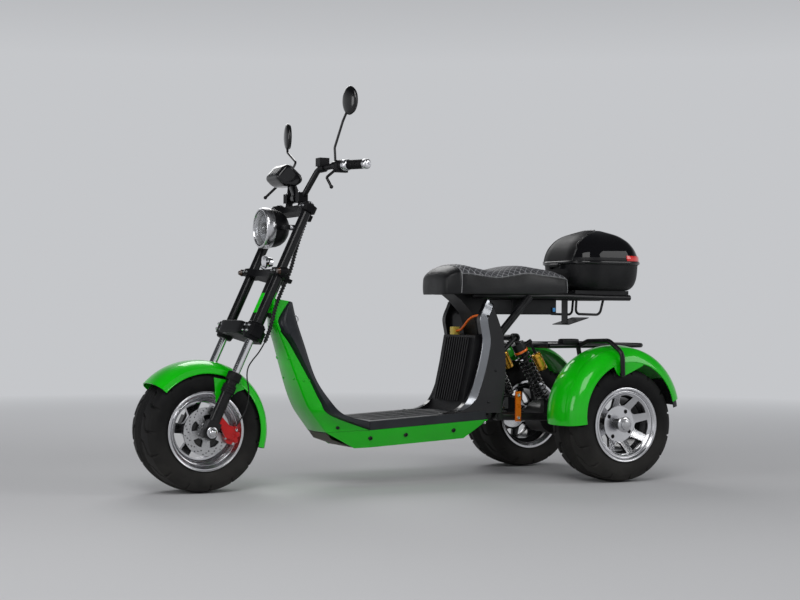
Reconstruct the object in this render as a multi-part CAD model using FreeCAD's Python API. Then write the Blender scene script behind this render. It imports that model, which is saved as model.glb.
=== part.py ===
import FreeCAD, Part
import math
import os

# Electric tricycle. Millimetres, X forward, Y to the rider's left, Z up, standing on Z = 0.
# The origin is on the ground under the middle of the vehicle's length.

# Driving dimensions
front_axle_x = 832.0
wheelbase = 1560.0
rear_track = 680.0
tyre_radius = 220.0
tyre_width = 204.0
fit_gap = 0.3
run_gap = 5.0

# Wheels
flange_radius = 141.0
bead_radius = 127.0
rim_half_width = 98.0
well_radius = 112.0
hub_radius = 34.0
axle_radius = 8.0
spoke_count = 8
disc_radius = 86.0
disc_thickness = 4.0
disc_offset = 100.0
front_spokes = 6
carrier_windows = 5
lug_circle = 55.0
lug_count = 4

# Steering head and fork, measured along the legs from the front axle
rake = 25.0
leg_offset_y = 130.0
stem_setback = 45.0
slider_radius = 20.0
slider_top = 227.0
stanchion_radius = 15.0
crown_bottom = 370.0
crown_height = 42.0
fork_tube_radius = 18.0
mid_clamp_bottom = 606.0
clamp_height = 26.0
top_clamp_bottom = 866.0
stem_radius = 14.0
head_tube_radius = 27.0
steering_limit = 35.0

# Handlebar
bar_radius = 11.0
bar_half_width = 350.0
grip_radius = 17.0
grip_length = 112.0

# Floor, built level and then tilted so that it rises to the rear
floor_height = 252.0
floor_tilt = 3.0
floor_half_width = 171.0
front_axle_to_deck = 605.0
rear_axle_to_deck = 460.0
deck_thickness = 5.0
skirt_depth = 33.0
sill_depth = 66.0
sill_foot_half_width = 142.0
rail_half_spacing = 95.0
rail_size = 30.0
down_tube_radius = 17.0
pivot_forward = 392.0
pivot_height = 246.0
pivot_radius = 8.0

# Shells
shell_wall = 3.0

# Seat, measured from the rear axle
seat_base_depth = 6.0
seat_half_width = 140.0
under_box_depth = 62.0
seat_rail_height = 709.0
seat_rail_half_spacing = 118.0
seat_rail_radius = 12.0
upright_half_spacing = 140.0
upright_radius = 15.0

# Top case, measured from the rear axle
case_centre_back = 138.0
case_length = 334.0
case_width = 340.0
case_plate_depth = 16.0
case_tub_depth = 104.0
case_lid_depth = 142.0
case_corner = 110.0
case_wall = 4.0
hinge_forward = 9.0
hinge_pin_radius = 3.0

# Plate bracket
plate_drop = 103.0
plate_tilt = 16.0
plate_hole_spacing = 60.0
plate_hole_radius = 4.0
plate_hole_back = 34.0

# Rear fenders, in turned outline round the rear axle
fender_crown = 265.0
fender_edge = 204.0
fender_set_back = 15.0
fender_raise = 35.0
fender_wall = 3.0
fender_front_angle = 8.0
fender_sweep = 174.0

reservoir_offset = 54.0

# Rack
rack_height = 515.0
rack_half_width = 215.0
rack_front = 205.0
rack_rear = -250.0
rack_tube = 9.0

# Battery between the covers of the seat housing
battery_top = 556.0
cover_inner = 124.0
cover_outer = 165.0

rear_axle_x = front_axle_x - wheelbase
floor_middle_x = front_axle_x - wheelbase / 2
floor_front = front_axle_x - front_axle_to_deck - floor_middle_x
floor_rear = rear_axle_x + rear_axle_to_deck - floor_middle_x
half_track = rear_track / 2
half_tyre = tyre_width / 2
seat_underside = seat_rail_height + seat_rail_radius + seat_base_depth
case_rail_height = seat_rail_height - 4
case_floor = case_rail_height + seat_rail_radius + case_plate_depth
case_rim = case_floor + case_tub_depth
case_top = case_rim + case_lid_depth
plate_height = seat_rail_height - plate_drop
x_axis = FreeCAD.Vector(1, 0, 0)
y_axis = FreeCAD.Vector(0, 1, 0)
z_axis = FreeCAD.Vector(0, 0, 1)
origin = FreeCAD.Vector(0, 0, 0)


def point(x, y, z):
    return FreeCAD.Vector(x, y, z)


def block(x0, x1, y0, y1, z0, z1):
    return Part.makeBox(x1 - x0, y1 - y0, z1 - z0, point(x0, y0, z0))


def rod(start, end, radius):
    line = end.sub(start)
    return Part.makeCylinder(radius, line.Length, start, line)


def joined(shapes):
    return shapes[0].fuse(shapes[1:]).removeSplitter()


def mirrored(shape):
    return shape.mirror(origin, y_axis)


def pair(shape):
    return [shape, mirrored(shape)]


def moved(shape, offset):
    result = shape.copy()
    result.translate(offset)
    return result


def turned_by(shape, centre, axis, angle):
    result = shape.copy()
    result.rotate(centre, axis, angle)
    return result


# A closed face from (a, b) points; a point with True is one that an arc passes on its way to the next
def outline(points, place):
    loop = points + points[:1]
    edges = []
    index = 0
    while index < len(loop) - 1:
        start = place(loop[index][0], loop[index][1])
        following = place(loop[index + 1][0], loop[index + 1][1])
        if len(loop[index + 1]) == 3:
            end = place(loop[index + 2][0], loop[index + 2][1])
            edges.append(Part.Arc(start, following, end).toShape())
            index += 2
        else:
            edges.append(Part.LineSegment(start, following).toShape())
            index += 1
    return Part.Face(Part.Wire(edges))


def side_slab(points, y0, y1):
    face = outline(points, lambda a, b: point(a, y0, b))
    return face.extrude(point(0, y1 - y0, 0))


def top_slab(points, z0, z1):
    face = outline(points, lambda a, b: point(a, b, z0))
    return face.extrude(point(0, 0, z1 - z0))


# A ring turned about the Y axis from (radius, offset) points
def turned(points, angle=360.0):
    return outline(points, lambda a, b: point(a, b, 0)).revolve(origin, y_axis, angle)


# A path of straight runs joined by tangent arcs; without a bend each arc is as large as its runs allow
def bent_path(points, bend=None):
    edges = []
    radii = []
    start = points[0]
    for before, corner, after in zip(points, points[1:], points[2:]):
        inward = before.sub(corner)
        outward = after.sub(corner)
        turn = math.pi - inward.getAngle(outward)
        shorter = min(inward.Length, outward.Length)
        if bend is None:
            radius = 0.45 * shorter / math.tan(turn / 2)
        else:
            radius = min(bend, 0.49 * shorter / math.tan(turn / 2))
        reach = radius * math.tan(turn / 2)
        inward.normalize()
        outward.normalize()
        first = corner + inward * reach
        last = corner + outward * reach
        halfway = inward + outward
        halfway.normalize()
        middle = corner + halfway * (radius / math.cos(turn / 2) - radius)
        edges.append(Part.LineSegment(start, first).toShape())
        edges.append(Part.Arc(first, middle, last).toShape())
        radii.append(radius)
        start = last
    edges.append(Part.LineSegment(start, points[-1]).toShape())
    return Part.Wire(edges), radii


def pipe(points, radius, bend=None):
    path, radii = bent_path(points, bend)
    direction = points[1].sub(points[0])
    circle = Part.Wire([Part.makeCircle(radius, points[0], direction)])
    return path.makePipeShell([circle], True, False)


# A held cable, with its bend radii printed and its volume compared with section times length
def cable(name, points, radius):
    path, radii = bent_path(points)
    solid = pipe(points, radius)
    ratio = solid.Volume / (math.pi * radius * radius * path.Length)
    print(name, "radii", [round(value) for value in radii], "volume ratio", round(ratio, 3))
    return solid


def ring_wire(points):
    return Part.makePolygon(points + points[:1])


def loft(wires, ruled=True):
    return Part.makeLoft(wires, True, ruled)


# A rounded rectangle in a level plane
def rounded_wire(centre_x, height, length, width, corner):
    radius = min(corner, 0.49 * length, 0.49 * width)
    x0, x1 = centre_x - length / 2, centre_x + length / 2
    y0, y1 = -width / 2, width / 2
    slant = radius * (1 - math.sqrt(0.5))
    points = [(x0 + radius, y0), (x1 - radius, y0), (x1 - slant, y0 + slant, True), (x1, y0 + radius),
              (x1, y1 - radius), (x1 - slant, y1 - slant, True), (x1 - radius, y1),
              (x0 + radius, y1), (x0 + slant, y1 - slant, True), (x0, y1 - radius),
              (x0, y0 + radius), (x0 + slant, y0 + slant, True)]
    return outline(points, lambda a, b: point(a, b, height)).OuterWire


def save(name, shapes):
    for shape in shapes:
        if not shape.isValid():
            print("invalid shape in", name)
    solids = [solid for shape in shapes for solid in shape.Solids]
    whole = solids[0] if len(solids) == 1 else Part.makeCompound(solids)
    whole.exportStep("parts/" + name + ".step")
    volume = sum(solid.Volume for solid in solids)
    print(name, len(solids), "solids", round(volume / 1000), "cm3")


# Fork coordinates: forward, left and up along the legs, from the front axle
def on_fork(shape):
    tilted = turned_by(shape, origin, y_axis, -rake)
    return moved(tilted, point(front_axle_x, 0, tyre_radius))


def fork_place(forward, along):
    slope = math.radians(rake)
    x = forward * math.cos(slope) - along * math.sin(slope)
    z = forward * math.sin(slope) + along * math.cos(slope)
    return point(front_axle_x + x, 0, tyre_radius + z)


# Floor coordinates: forward from the floor's middle, left, and up from the deck's surface
def on_floor(shape):
    tilted = turned_by(shape, origin, y_axis, floor_tilt)
    return moved(tilted, point(floor_middle_x, 0, floor_height))


def floor_place(forward, left, up):
    slope = math.radians(floor_tilt)
    x = forward * math.cos(slope) + up * math.sin(slope)
    z = up * math.cos(slope) - forward * math.sin(slope)
    return point(floor_middle_x + x, left, floor_height + z)


def behind_front(back, left, height):
    return point(front_axle_x - back, left, height)


def by_rear(forward, left, height):
    return point(rear_axle_x + forward, left, height)


# Wheels

def tyre():
    shoulder = tyre_radius - 9
    tread_edge = half_tyre * 0.86
    wall_radius = (flange_radius + tyre_radius) / 2
    bead_out = rim_half_width - 8 - fit_gap
    wall = 14.0
    inner = bead_radius + fit_gap
    points = [(inner, bead_out), (flange_radius, bead_out),
              (wall_radius, half_tyre, True), (shoulder, tread_edge),
              (tyre_radius, 0, True), (shoulder, -tread_edge),
              (wall_radius, -half_tyre, True), (flange_radius, -bead_out), (inner, -bead_out),
              (inner, wall - bead_out), (flange_radius, wall - bead_out),
              (wall_radius, wall - half_tyre, True), (shoulder - wall, wall - tread_edge),
              (tyre_radius - wall, 0, True), (shoulder - wall, tread_edge - wall),
              (wall_radius, half_tyre - wall, True), (flange_radius, bead_out - wall),
              (inner, bead_out - wall)]
    return turned(points)


def rim_barrel():
    edge = rim_half_width
    seat = edge - 8
    points = [(flange_radius, edge), (flange_radius, seat), (bead_radius, seat), (bead_radius, 62),
              (well_radius, 44), (well_radius, -44), (bead_radius, -62), (bead_radius, -seat),
              (flange_radius, -seat), (flange_radius, -edge), (flange_radius - 8, -edge),
              (bead_radius - 8, 18 - edge), (bead_radius - 8, -58), (well_radius - 7, -42),
              (well_radius - 7, 42), (bead_radius - 8, 58), (bead_radius - 8, edge - 18),
              (flange_radius - 8, edge)]
    return turned(points)


def axle_bore(shape):
    bore = Part.makeCylinder(axle_radius + fit_gap, 4 * tyre_width, point(0, -2 * tyre_width, 0), y_axis)
    return shape.cut(bore)


# A window between two spokes, as a slab across the face, from inner to outer radius
def spoke_window(inner, outer, inner_half, outer_half, y0, y1):
    shape = top_slab([(inner, -inner_half), (outer - 6, -outer_half), (outer, 0, True), (outer - 6, outer_half),
                      (inner, inner_half), (inner - 4, 0, True)], 0, y1 - y0)
    shape = turned_by(shape, origin, x_axis, -90)
    return moved(shape, point(0, y0, 0))


def around(shape, count, start):
    return [turned_by(shape, origin, y_axis, -start - 360.0 * index / count) for index in range(count)]


def front_rim():
    barrel_inside = well_radius - 7
    web = turned([(0, 14), (64, 14), (barrel_inside + 2, 20), (barrel_inside + 2, 42), (98, 42), (94, 38), (60, 32),
                  (52, 40), (hub_radius, 40), (hub_radius, disc_offset - 6), (24, disc_offset - 6),
                  (24, disc_offset + 8), (0, disc_offset + 8)])
    for window in around(spoke_window(66, 100, 18, 33, 0, 60), front_spokes, 37.0):
        web = web.cut(window)
    hub = turned([(0, -100), (18, -100), (24, -94), (30, -60), (34, 16), (0, 16)])
    return axle_bore(joined([rim_barrel(), web, hub]))


def front_disc():
    bore = 24 + fit_gap
    disc = turned([(bore, disc_offset), (disc_radius, disc_offset), (disc_radius, disc_offset + disc_thickness),
                   (64, disc_offset + disc_thickness), (64, disc_offset + disc_thickness + 2),
                   (bore, disc_offset + disc_thickness + 2)])
    for window in around(spoke_window(36, 60, 10, 20, disc_offset - 1, disc_offset + 10), carrier_windows, 23.0):
        disc = disc.cut(window)
    # columns: circle radius, holes on it, angle of the first one
    hole_rings = [(69, 15, 0.0), (75, 15, 8.0), (81, 15, 16.0)]
    for radius, count, start in hole_rings:
        hole = Part.makeCylinder(2.4, disc_thickness + 2, point(radius, disc_offset - 1, 0), y_axis)
        for cutter in around(hole, count, start):
            disc = disc.cut(cutter)
    return disc


def rear_rim():
    face_outer = bead_radius - 8
    face = turned([(0, 52), (68, 52), (face_outer - 4, 86), (face_outer, 90), (face_outer + 4, 90),
                   (face_outer + 4, 76), (face_outer - 8, 68), (64, 36), (0, 36)])
    for window in around(spoke_window(74, 112, 13, 29, 20, 100), spoke_count, 7.5):
        face = face.cut(window)
    for lug in around(Part.makeCylinder(8, 30, point(lug_circle, 44, 0), y_axis), lug_count, 32.5):
        face = face.cut(lug)
    hub = turned([(0, 93), (17, 93), (21, 90), (21, 52), (hub_radius, 50), (hub_radius, -80), (0, -80)])
    return axle_bore(joined([rim_barrel(), face, hub]))


def wheels():
    front = point(front_axle_x, 0, tyre_radius)
    save("front_tyre", [moved(tyre(), front)])
    save("front_rim", [moved(front_rim(), front)])
    save("front_disc", [moved(front_disc(), front)])
    left = by_rear(0, half_track, tyre_radius)
    right = by_rear(0, -half_track, tyre_radius)
    right_rim = mirrored(rear_rim())
    save("rear_left_tyre", [moved(tyre(), left)])
    save("rear_left_rim", [moved(rear_rim(), left)])
    save("rear_right_tyre", [moved(tyre(), right)])
    save("rear_right_rim", [moved(right_rim, right)])


# Fork

def fork():
    axle_end = leg_offset_y + 34
    axle = Part.makeCylinder(axle_radius, 2 * axle_end, point(0, -axle_end, 0), y_axis)
    nuts = [Part.makeCylinder(15, 12, point(0, leg_offset_y + 22, 0), y_axis),
            Part.makeCylinder(15, 12, point(0, -leg_offset_y - 34, 0), y_axis)]
    save("front_axle", [on_fork(joined([axle] + nuts))])

    collar = rod(point(0, leg_offset_y, slider_top - 30), point(0, leg_offset_y, slider_top), slider_radius + 4)
    leg = rod(point(0, leg_offset_y, -10), point(0, leg_offset_y, slider_top), slider_radius)
    foot = block(-24, 24, leg_offset_y - 18, leg_offset_y + 20, -26, 40)
    hole = Part.makeCylinder(axle_radius + fit_gap, 100, point(0, leg_offset_y - 50, 0), y_axis)
    nut_room = Part.makeCylinder(15 + fit_gap, 60, point(0, leg_offset_y + 21.7, 0), y_axis)
    slider = joined([collar, leg, foot]).cut(hole).cut(nut_room)
    save("fork_sliders", [on_fork(shape) for shape in pair(slider)])

    crown_top = crown_bottom + crown_height
    top = top_clamp_bottom + clamp_height + 8
    stanchion = rod(point(0, leg_offset_y, slider_top), point(0, leg_offset_y, crown_bottom + 10), stanchion_radius)
    save("fork_stanchions", [on_fork(shape) for shape in pair(stanchion)])
    tube = rod(point(0, leg_offset_y, crown_bottom + 10 + fit_gap), point(0, leg_offset_y, top), fork_tube_radius)
    save("fork_tubes", [on_fork(shape) for shape in pair(tube)])

    holes = []
    for shape in pair(rod(point(0, leg_offset_y, crown_bottom + 10), point(0, leg_offset_y, top), fork_tube_radius + fit_gap)):
        holes.append(shape)
    for shape in pair(rod(point(0, leg_offset_y, 0), point(0, leg_offset_y, crown_bottom + 20), stanchion_radius + fit_gap)):
        holes.append(shape)
    half = leg_offset_y + 36
    crown_outline = [(-stem_setback - 32, -50), (-stem_setback - 32, 50), (-30, 118), (-28, half - 10), (-18, half),
                     (20, half), (32, half - 14), (32, 96), (10, 60), (10, -60), (32, -96), (32, 14 - half),
                     (20, -half), (-18, -half), (-28, 10 - half), (-30, -118)]
    crown = top_slab(crown_outline, crown_bottom, crown_top)
    stem = rod(point(-stem_setback, 0, crown_top), point(-stem_setback, 0, mid_clamp_bottom), stem_radius)
    crown = joined([crown, stem])
    for hole in holes:
        crown = crown.cut(hole)
    save("fork_crown", [on_fork(crown)])

    clamps = []
    for bottom, back in ((mid_clamp_bottom, stem_setback + 26), (top_clamp_bottom, 26)):
        shape = top_slab([(-back, -40), (-back, 40), (-26, 110), (-26, half - 16), (-14, half - 6), (14, half - 6),
                          (26, half - 16), (26, 108), (12, 70), (12, -70), (26, -108), (26, 16 - half),
                          (14, 6 - half), (-14, 6 - half), (-26, 16 - half), (-26, -110)],
                         bottom, bottom + clamp_height)
        for hole in holes[:2]:
            shape = shape.cut(hole)
        clip = block(-72, -20, 74, 94, bottom + 6, bottom + 20)
        if bottom > mid_clamp_bottom:
            clip = block(-46, -20, 74, 94, bottom - 16, bottom + 6)
        clamps.append(on_fork(joined([shape, clip])).cut(pipe(harness_route(), harness_radius + fit_gap)))
    risers = []
    for side in (56, -56):
        risers.append(rod(bar_place(0, side, -8), bar_place(6, side, 34), 13))
        risers.append(moved(block(-22, 14, side - 16, side + 16, 18, 52), bar_place(0, 0, 0)))
    clamps[1] = joined([clamps[1]] + risers).cut(bar_tube(fit_gap))
    save("fork_clamps", clamps)


def front_fender():
    wall = fender_wall
    crown = 250.0
    edge = 206.0
    half = 106.0
    outer = [(edge, half), (edge + 18, half - 2), (crown - 10, 76, True), (crown - 2, 44), (crown, 0, True),
             (crown - 2, -44), (crown - 10, -76, True), (edge + 18, 2 - half), (edge, -half)]
    inner = [(edge, wall - half), (edge + 18, 2 + wall - half), (crown - 10 - wall, wall - 76, True),
             (crown - 2 - wall, -44), (crown - wall, 0, True), (crown - 2 - wall, 44),
             (crown - 10 - wall, 76 - wall, True), (edge + 18, half - 2 - wall), (edge, half - wall)]
    sweep = turned(outer + inner, 154.0)
    shell = turned_by(sweep, origin, y_axis, -197.0)
    tab = side_slab([(-25, 190), (-33, 100), (-52, 92), (-112, 138), (-140, 146), (-120, 172)], half - wall, half)
    tab = tab.cut(Part.makeCylinder(edge - 4, 4 * half, point(0, -2 * half, 0), y_axis).cut(
        Part.makeCylinder(edge - 120, 4 * half, point(0, -2 * half, 0), y_axis)).cut(
        side_slab([(-20, 60), (-160, 60), (-160, 160), (-20, 230)], -2 * half, 2 * half)))
    fender = joined([shell] + pair(tab))
    fender = moved(fender, point(front_axle_x, 0, tyre_radius))
    boss = rod(point(0, half, 104), point(0, leg_offset_y - slider_radius + 4, 104), 7)
    slider_room = rod(point(0, leg_offset_y, 0), point(0, leg_offset_y, slider_top), slider_radius + fit_gap)
    bosses = pair(boss.cut(slider_room))
    save("front_fender", [joined([fender] + [on_fork(shape) for shape in bosses])])


def front_brake():
    # The caliper straddles the disc behind the leg, on a bracket from the slider
    gap = run_gap
    inner_face = disc_offset - gap
    outer_face = disc_offset + disc_thickness + gap
    body = side_slab([(-108, 10), (-104, 38), (-76, 50), (-58, 32), (-58, 4), (-78, -10), (-100, -6)],
                     inner_face - 14, leg_offset_y - 2)
    slot = Part.makeCylinder(disc_radius + gap, outer_face - inner_face, point(0, inner_face, 0), y_axis)
    slider_room = rod(point(0, leg_offset_y, -30), point(0, leg_offset_y, slider_top), slider_radius + fit_gap)
    body = body.cut(slot)
    bracket = side_slab([(-84, 8), (-80, 40), (-20, 66), (-10, 66), (-10, 46), (-20, 38), (-60, 6)],
                        leg_offset_y - 4, leg_offset_y + 6)
    foot_room = block(-24 - fit_gap, 24 + fit_gap, leg_offset_y - 18 - fit_gap, leg_offset_y + 30, -40, 40 + fit_gap)
    bracket = bracket.cut(slider_room).cut(foot_room)
    body = body.cut(slider_room)
    banjo = rod(point(-86, 114, 36), point(-87, 114, 58), 7)
    caliper = on_fork(joined([body, bracket, banjo])).cut(pipe(fork_route(hose_points), hose_radius + fit_gap))
    save("front_caliper", [caliper])


# Lamp, horn and signals

def lamp():
    centre = fork_place(72.0, 770.0)
    face_radius = 75.0
    shell_points = [(0, 0), (face_radius - 4, 0), (face_radius - 4, -22), (64, -56, True), (38, -84), (0, -88)]
    shell = outline(shell_points, lambda a, b: point(b, a, 0)).revolve(origin, x_axis, 360)
    lens = outline([(0, 0), (face_radius, 0), (face_radius, 14), (68, 20), (0, 26)],
                   lambda a, b: point(b, a, 0)).revolve(origin, x_axis, 360)
    arm = block(-88, -34, 50, leg_offset_y - fork_tube_radius + 6, -9, 9)
    shell = moved(joined([shell] + pair(arm)), centre)
    for room in pair(on_fork(rod(point(0, leg_offset_y, crown_bottom), point(0, leg_offset_y, top_clamp_bottom),
                                 fork_tube_radius + fit_gap))):
        shell = shell.cut(room)
    save("headlamp_shell", [shell])
    save("headlamp_lens", [moved(lens, centre)])

    clamp_top = mid_clamp_bottom + clamp_height
    horn = outline([(0, -22), (16, -22), (20, -4), (25, 4), (24, 10), (12, 14), (0, 16)],
                   lambda a, b: point(b, a, 0)).revolve(origin, x_axis, 360)
    horn = moved(horn, fork_place(15.0, clamp_top + 27))
    bracket = on_fork(block(-10, 24, -9, 9, clamp_top, clamp_top + 4))
    save("horn", [joined([horn, bracket])])

    clamp_middle = mid_clamp_bottom + clamp_height / 2
    stalk_start = leg_offset_y + 30
    stalk = on_fork(rod(point(7, stalk_start, clamp_middle + 5), point(7, stalk_start + 16, clamp_middle + 5), 6))
    middle = fork_place(7, clamp_middle + 5) + point(5, stalk_start + 24, 0)
    pod = joined([rod(middle + point(-14, 0, 0), middle + point(12, 0, 0), 13),
                  Part.makeCone(8, 13, 8, middle + point(-22, 0, 0), x_axis)])
    save("indicators", pair(joined([stalk, pod])))
    amber = Part.makeCone(12, 7, 10, middle + point(12 + fit_gap, 0, 0), x_axis)
    save("indicator_lenses", pair(amber))


# Handlebar, level, from the middle of the top clamp's upper face
# columns: back, left, up
bar_points = [(6, 62, 34), (42, 122, 135), (72, 200, 142), (123, bar_half_width, 138)]


def bar_place(back, left, up):
    return fork_place(0, top_clamp_bottom + clamp_height) + point(-back, left, up)


def bar_tube(extra):
    left = [bar_place(back, side, up) for back, side, up in bar_points]
    right = [bar_place(back, -side, up) for back, side, up in bar_points]
    return pipe(right[::-1] + left, bar_radius + extra, 40.0)


def handlebar():
    base = bar_place(0, 0, 0)
    save("handlebar", [bar_tube(0)])
    bar_room = bar_tube(fit_gap)

    grips = []
    controls = []
    for sign in (1, -1):
        end = bar_place(bar_points[-1][0], sign * bar_points[-1][1], bar_points[-1][2])
        start = bar_place(bar_points[-2][0], sign * bar_points[-2][1], bar_points[-2][2])
        along = end.sub(start)
        along.normalize()
        grip_start = end - along * grip_length
        grip = rod(grip_start, end, grip_radius)
        cap = rod(end, end + along * 10, grip_radius - 2)
        grips.append(joined([grip, cap]).cut(bar_room))
        collar_start = grip_start - along * 34
        collar = rod(collar_start, grip_start - along * 2, 20)
        pod = moved(block(-24, 22, -10, 10, -26, 8), collar_start + along * 16)
        lever_tip = collar_start + point(67, sign * 90, -86)
        lever = pipe([collar_start + point(10, sign * 10, -14), collar_start + point(50, sign * 12, -46),
                      lever_tip], 5.0, 16.0)
        controls.append(joined([collar, pod, lever, Part.makeSphere(7, lever_tip)]).cut(bar_room))
    # Control box on its own ring, inboard on the left
    low, high = (bar_place(back, side, up) for back, side, up in bar_points[1:3])
    along = high.sub(low)
    middle = low + along * 0.24
    along.normalize()
    ring = rod(middle - along * 12, middle + along * 12, bar_radius + 5)
    case = moved(block(-18, 20, -19, 19, 6, 36), middle)
    controls.append(joined([ring, case]).cut(bar_room))
    save("hand_grips", grips)
    save("bar_controls", controls)

    pod_points = [(-12, 106), (-10, 90), (18, 70), (66, 72), (97, 104), (94, 112), (58, 155), (46, 156)]
    pod = side_slab(pod_points, -60, 60)
    bar_ring = rod(point(-6, -12, 34), point(-6, 12, 34), 18)
    post = side_slab([(-16, 44), (4, 44), (34, 92), (0, 100)], -12, 12)
    display = moved(joined([pod, bar_ring, post]), base).cut(bar_room)
    save("display_pod", [display])


def mirrors():
    bar_room = bar_tube(fit_gap)
    inner_point, outer_point = bar_points[1:3]
    shapes = []
    # columns: side, clamp's share of the way along the bar's second run, then knee, bend, tip and head
    # as (back, left, up)
    layouts = [(1, 1.0, (68, 202, 206), (82, 240, 298), (88, 262, 332), (94, 272, 370)),
               (-1, 0.36, (72, 152, 182), (84, 262, 230), (90, 278, 258), (94, 284, 294))]
    for side, share, knee, bend, tip, head_middle in layouts:
        inner = bar_place(inner_point[0], side * inner_point[1], inner_point[2])
        outer = bar_place(outer_point[0], side * outer_point[1], outer_point[2])
        ring_middle = inner + (outer - inner) * share
        along = outer - inner
        along.normalize()
        ring = rod(ring_middle - along * 7, ring_middle + along * 7, bar_radius + 5)
        root = ring_middle + point(0, 0, bar_radius + 2)
        stalk = pipe([root] + [bar_place(back, side * left, up) for back, left, up in (knee, bend, tip)], 4.5, 20.0)
        head = Part.makeSphere(1.0)
        scale = FreeCAD.Matrix()
        scale.scale(14.0, 40.0, 52.0)
        head = head.transformGeometry(scale)
        head = turned_by(head, origin, z_axis, side * 12.0)
        head = moved(head, bar_place(head_middle[0], side * head_middle[1], head_middle[2]))
        shapes.append(joined([stalk, head, ring]).cut(bar_room))
    save("mirrors", shapes)


# Shield and liner, from stations down the front
# columns: fold back, fold half width, fold height, edge back, edge half width, edge height,
# rear back, rear half width, rear height; the last station is worked out from the floor and its nose corner
nose_corner = (312, 86, -36)
shield_stations = [
    (280, 36, 692, 337, 44, 682, 352, 48, 677),
    (287, 42, 602, 293, 44, 600, 363, 62, 612),
    (315, 52, 520, 333, 64, 523, 384, 86, 523),
    (367, 73, 373, 392, 100, 400, 415, 116, 404),
    (397, 77, 300, 430, 117, 318, 464, 132, 324),
    (423, 80, 260, 462, 137, 267, 511, 160, 270),
]


def shield_rows():
    rows = []
    for fold_back, fold_half, fold_z, edge_back, edge_half, edge_z, rear_back, rear_half, rear_z in shield_stations:
        fold = behind_front(fold_back, fold_half, fold_z)
        edge = behind_front(edge_back, edge_half, edge_z)
        rear = behind_front(rear_back, rear_half, rear_z)
        rows.append((fold, edge, rear))
    foot_fold = floor_place(*nose_corner)
    foot_edge = floor_place(floor_front, floor_half_width, -skirt_depth)
    foot_rear = floor_place(floor_front, floor_half_width, 0)
    rows.append((foot_fold, foot_edge, foot_rear))
    return rows


def both(place):
    return [place, point(place.x, -place.y, place.z)]


def shield_wire(row, inset):
    fold, edge, rear = row
    front = point(fold.x - inset * 1.1, fold.y - inset * 0.8, fold.z)
    back = point(edge.x - inset * 0.3, edge.y - inset * 1.4, edge.z)
    return ring_wire([front, back, both(back)[1], both(front)[1]])


def liner_wire(row, inset):
    fold, edge, rear = row
    front = point(edge.x + inset * 0.3, edge.y - inset * 1.4, edge.z)
    back = point(rear.x + inset * 0.9, rear.y - inset * 1.4, rear.z + inset * 0.6)
    bulge = front * 0.7 + back * 0.3
    bulge.y = max(edge.y, rear.y) + 2 - inset * 1.4
    return ring_wire([front, bulge, back, both(back)[1], both(bulge)[1], both(front)[1]])


def head_tube_room():
    return on_fork(rod(point(-stem_setback, 0, crown_bottom), point(-stem_setback, 0, mid_clamp_bottom + clamp_height),
                       head_tube_radius + fit_gap))


def leg_shield():
    rows = shield_rows()
    outer = loft([shield_wire(row, 0) for row in rows])
    inner = loft([shield_wire(row, shell_wall) for row in rows[1:]])
    shield = outer.cut(inner).cut(head_tube_room())
    save("leg_shield", [shield.cut(frame_room())])
    liner_outer = loft([liner_wire(row, 0) for row in rows])
    liner_inner = loft([liner_wire(row, shell_wall) for row in rows[1:]])
    liner = liner_outer.cut(liner_inner)
    liner = liner.cut(outer).cut(frame_room())
    save("shield_liner", [max(liner.Solids, key=lambda solid: solid.Volume)])


# Frame

def down_tube_points():
    rows = shield_rows()
    centres = [(row[0] + row[2]) * 0.5 for row in rows[1:-1]]
    path = [point(centre.x, 0, centre.z - 4) for centre in centres]
    top = fork_place(-stem_setback - head_tube_radius + 4, crown_bottom + 130)
    low = floor_place(floor_front + 44, 0, -deck_thickness - down_tube_radius - fit_gap)
    back = floor_place(floor_front - 160, 0, -deck_thickness - down_tube_radius - fit_gap)
    return [point(top.x, 0, top.z)] + path[:4] + [low, back]


def frame_room():
    return pipe(down_tube_points(), down_tube_radius + fit_gap, 60.0)


def upright_points():
    foot = floor_place(floor_rear - 30, upright_half_spacing, -deck_thickness - rail_size / 2)
    return [foot, by_rear(412, upright_half_spacing, 400), by_rear(382, upright_half_spacing, 560),
            by_rear(240, upright_half_spacing - 10, seat_rail_height - 4)]


def rail_points():
    return [by_rear(470, 84, seat_rail_height), by_rear(330, seat_rail_half_spacing, seat_rail_height),
            by_rear(60, seat_rail_half_spacing, seat_rail_height),
            by_rear(-100, seat_rail_half_spacing, case_rail_height), by_rear(-254, 104, case_rail_height)]


def shock_top():
    return by_rear(300, 118, 545)


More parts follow.
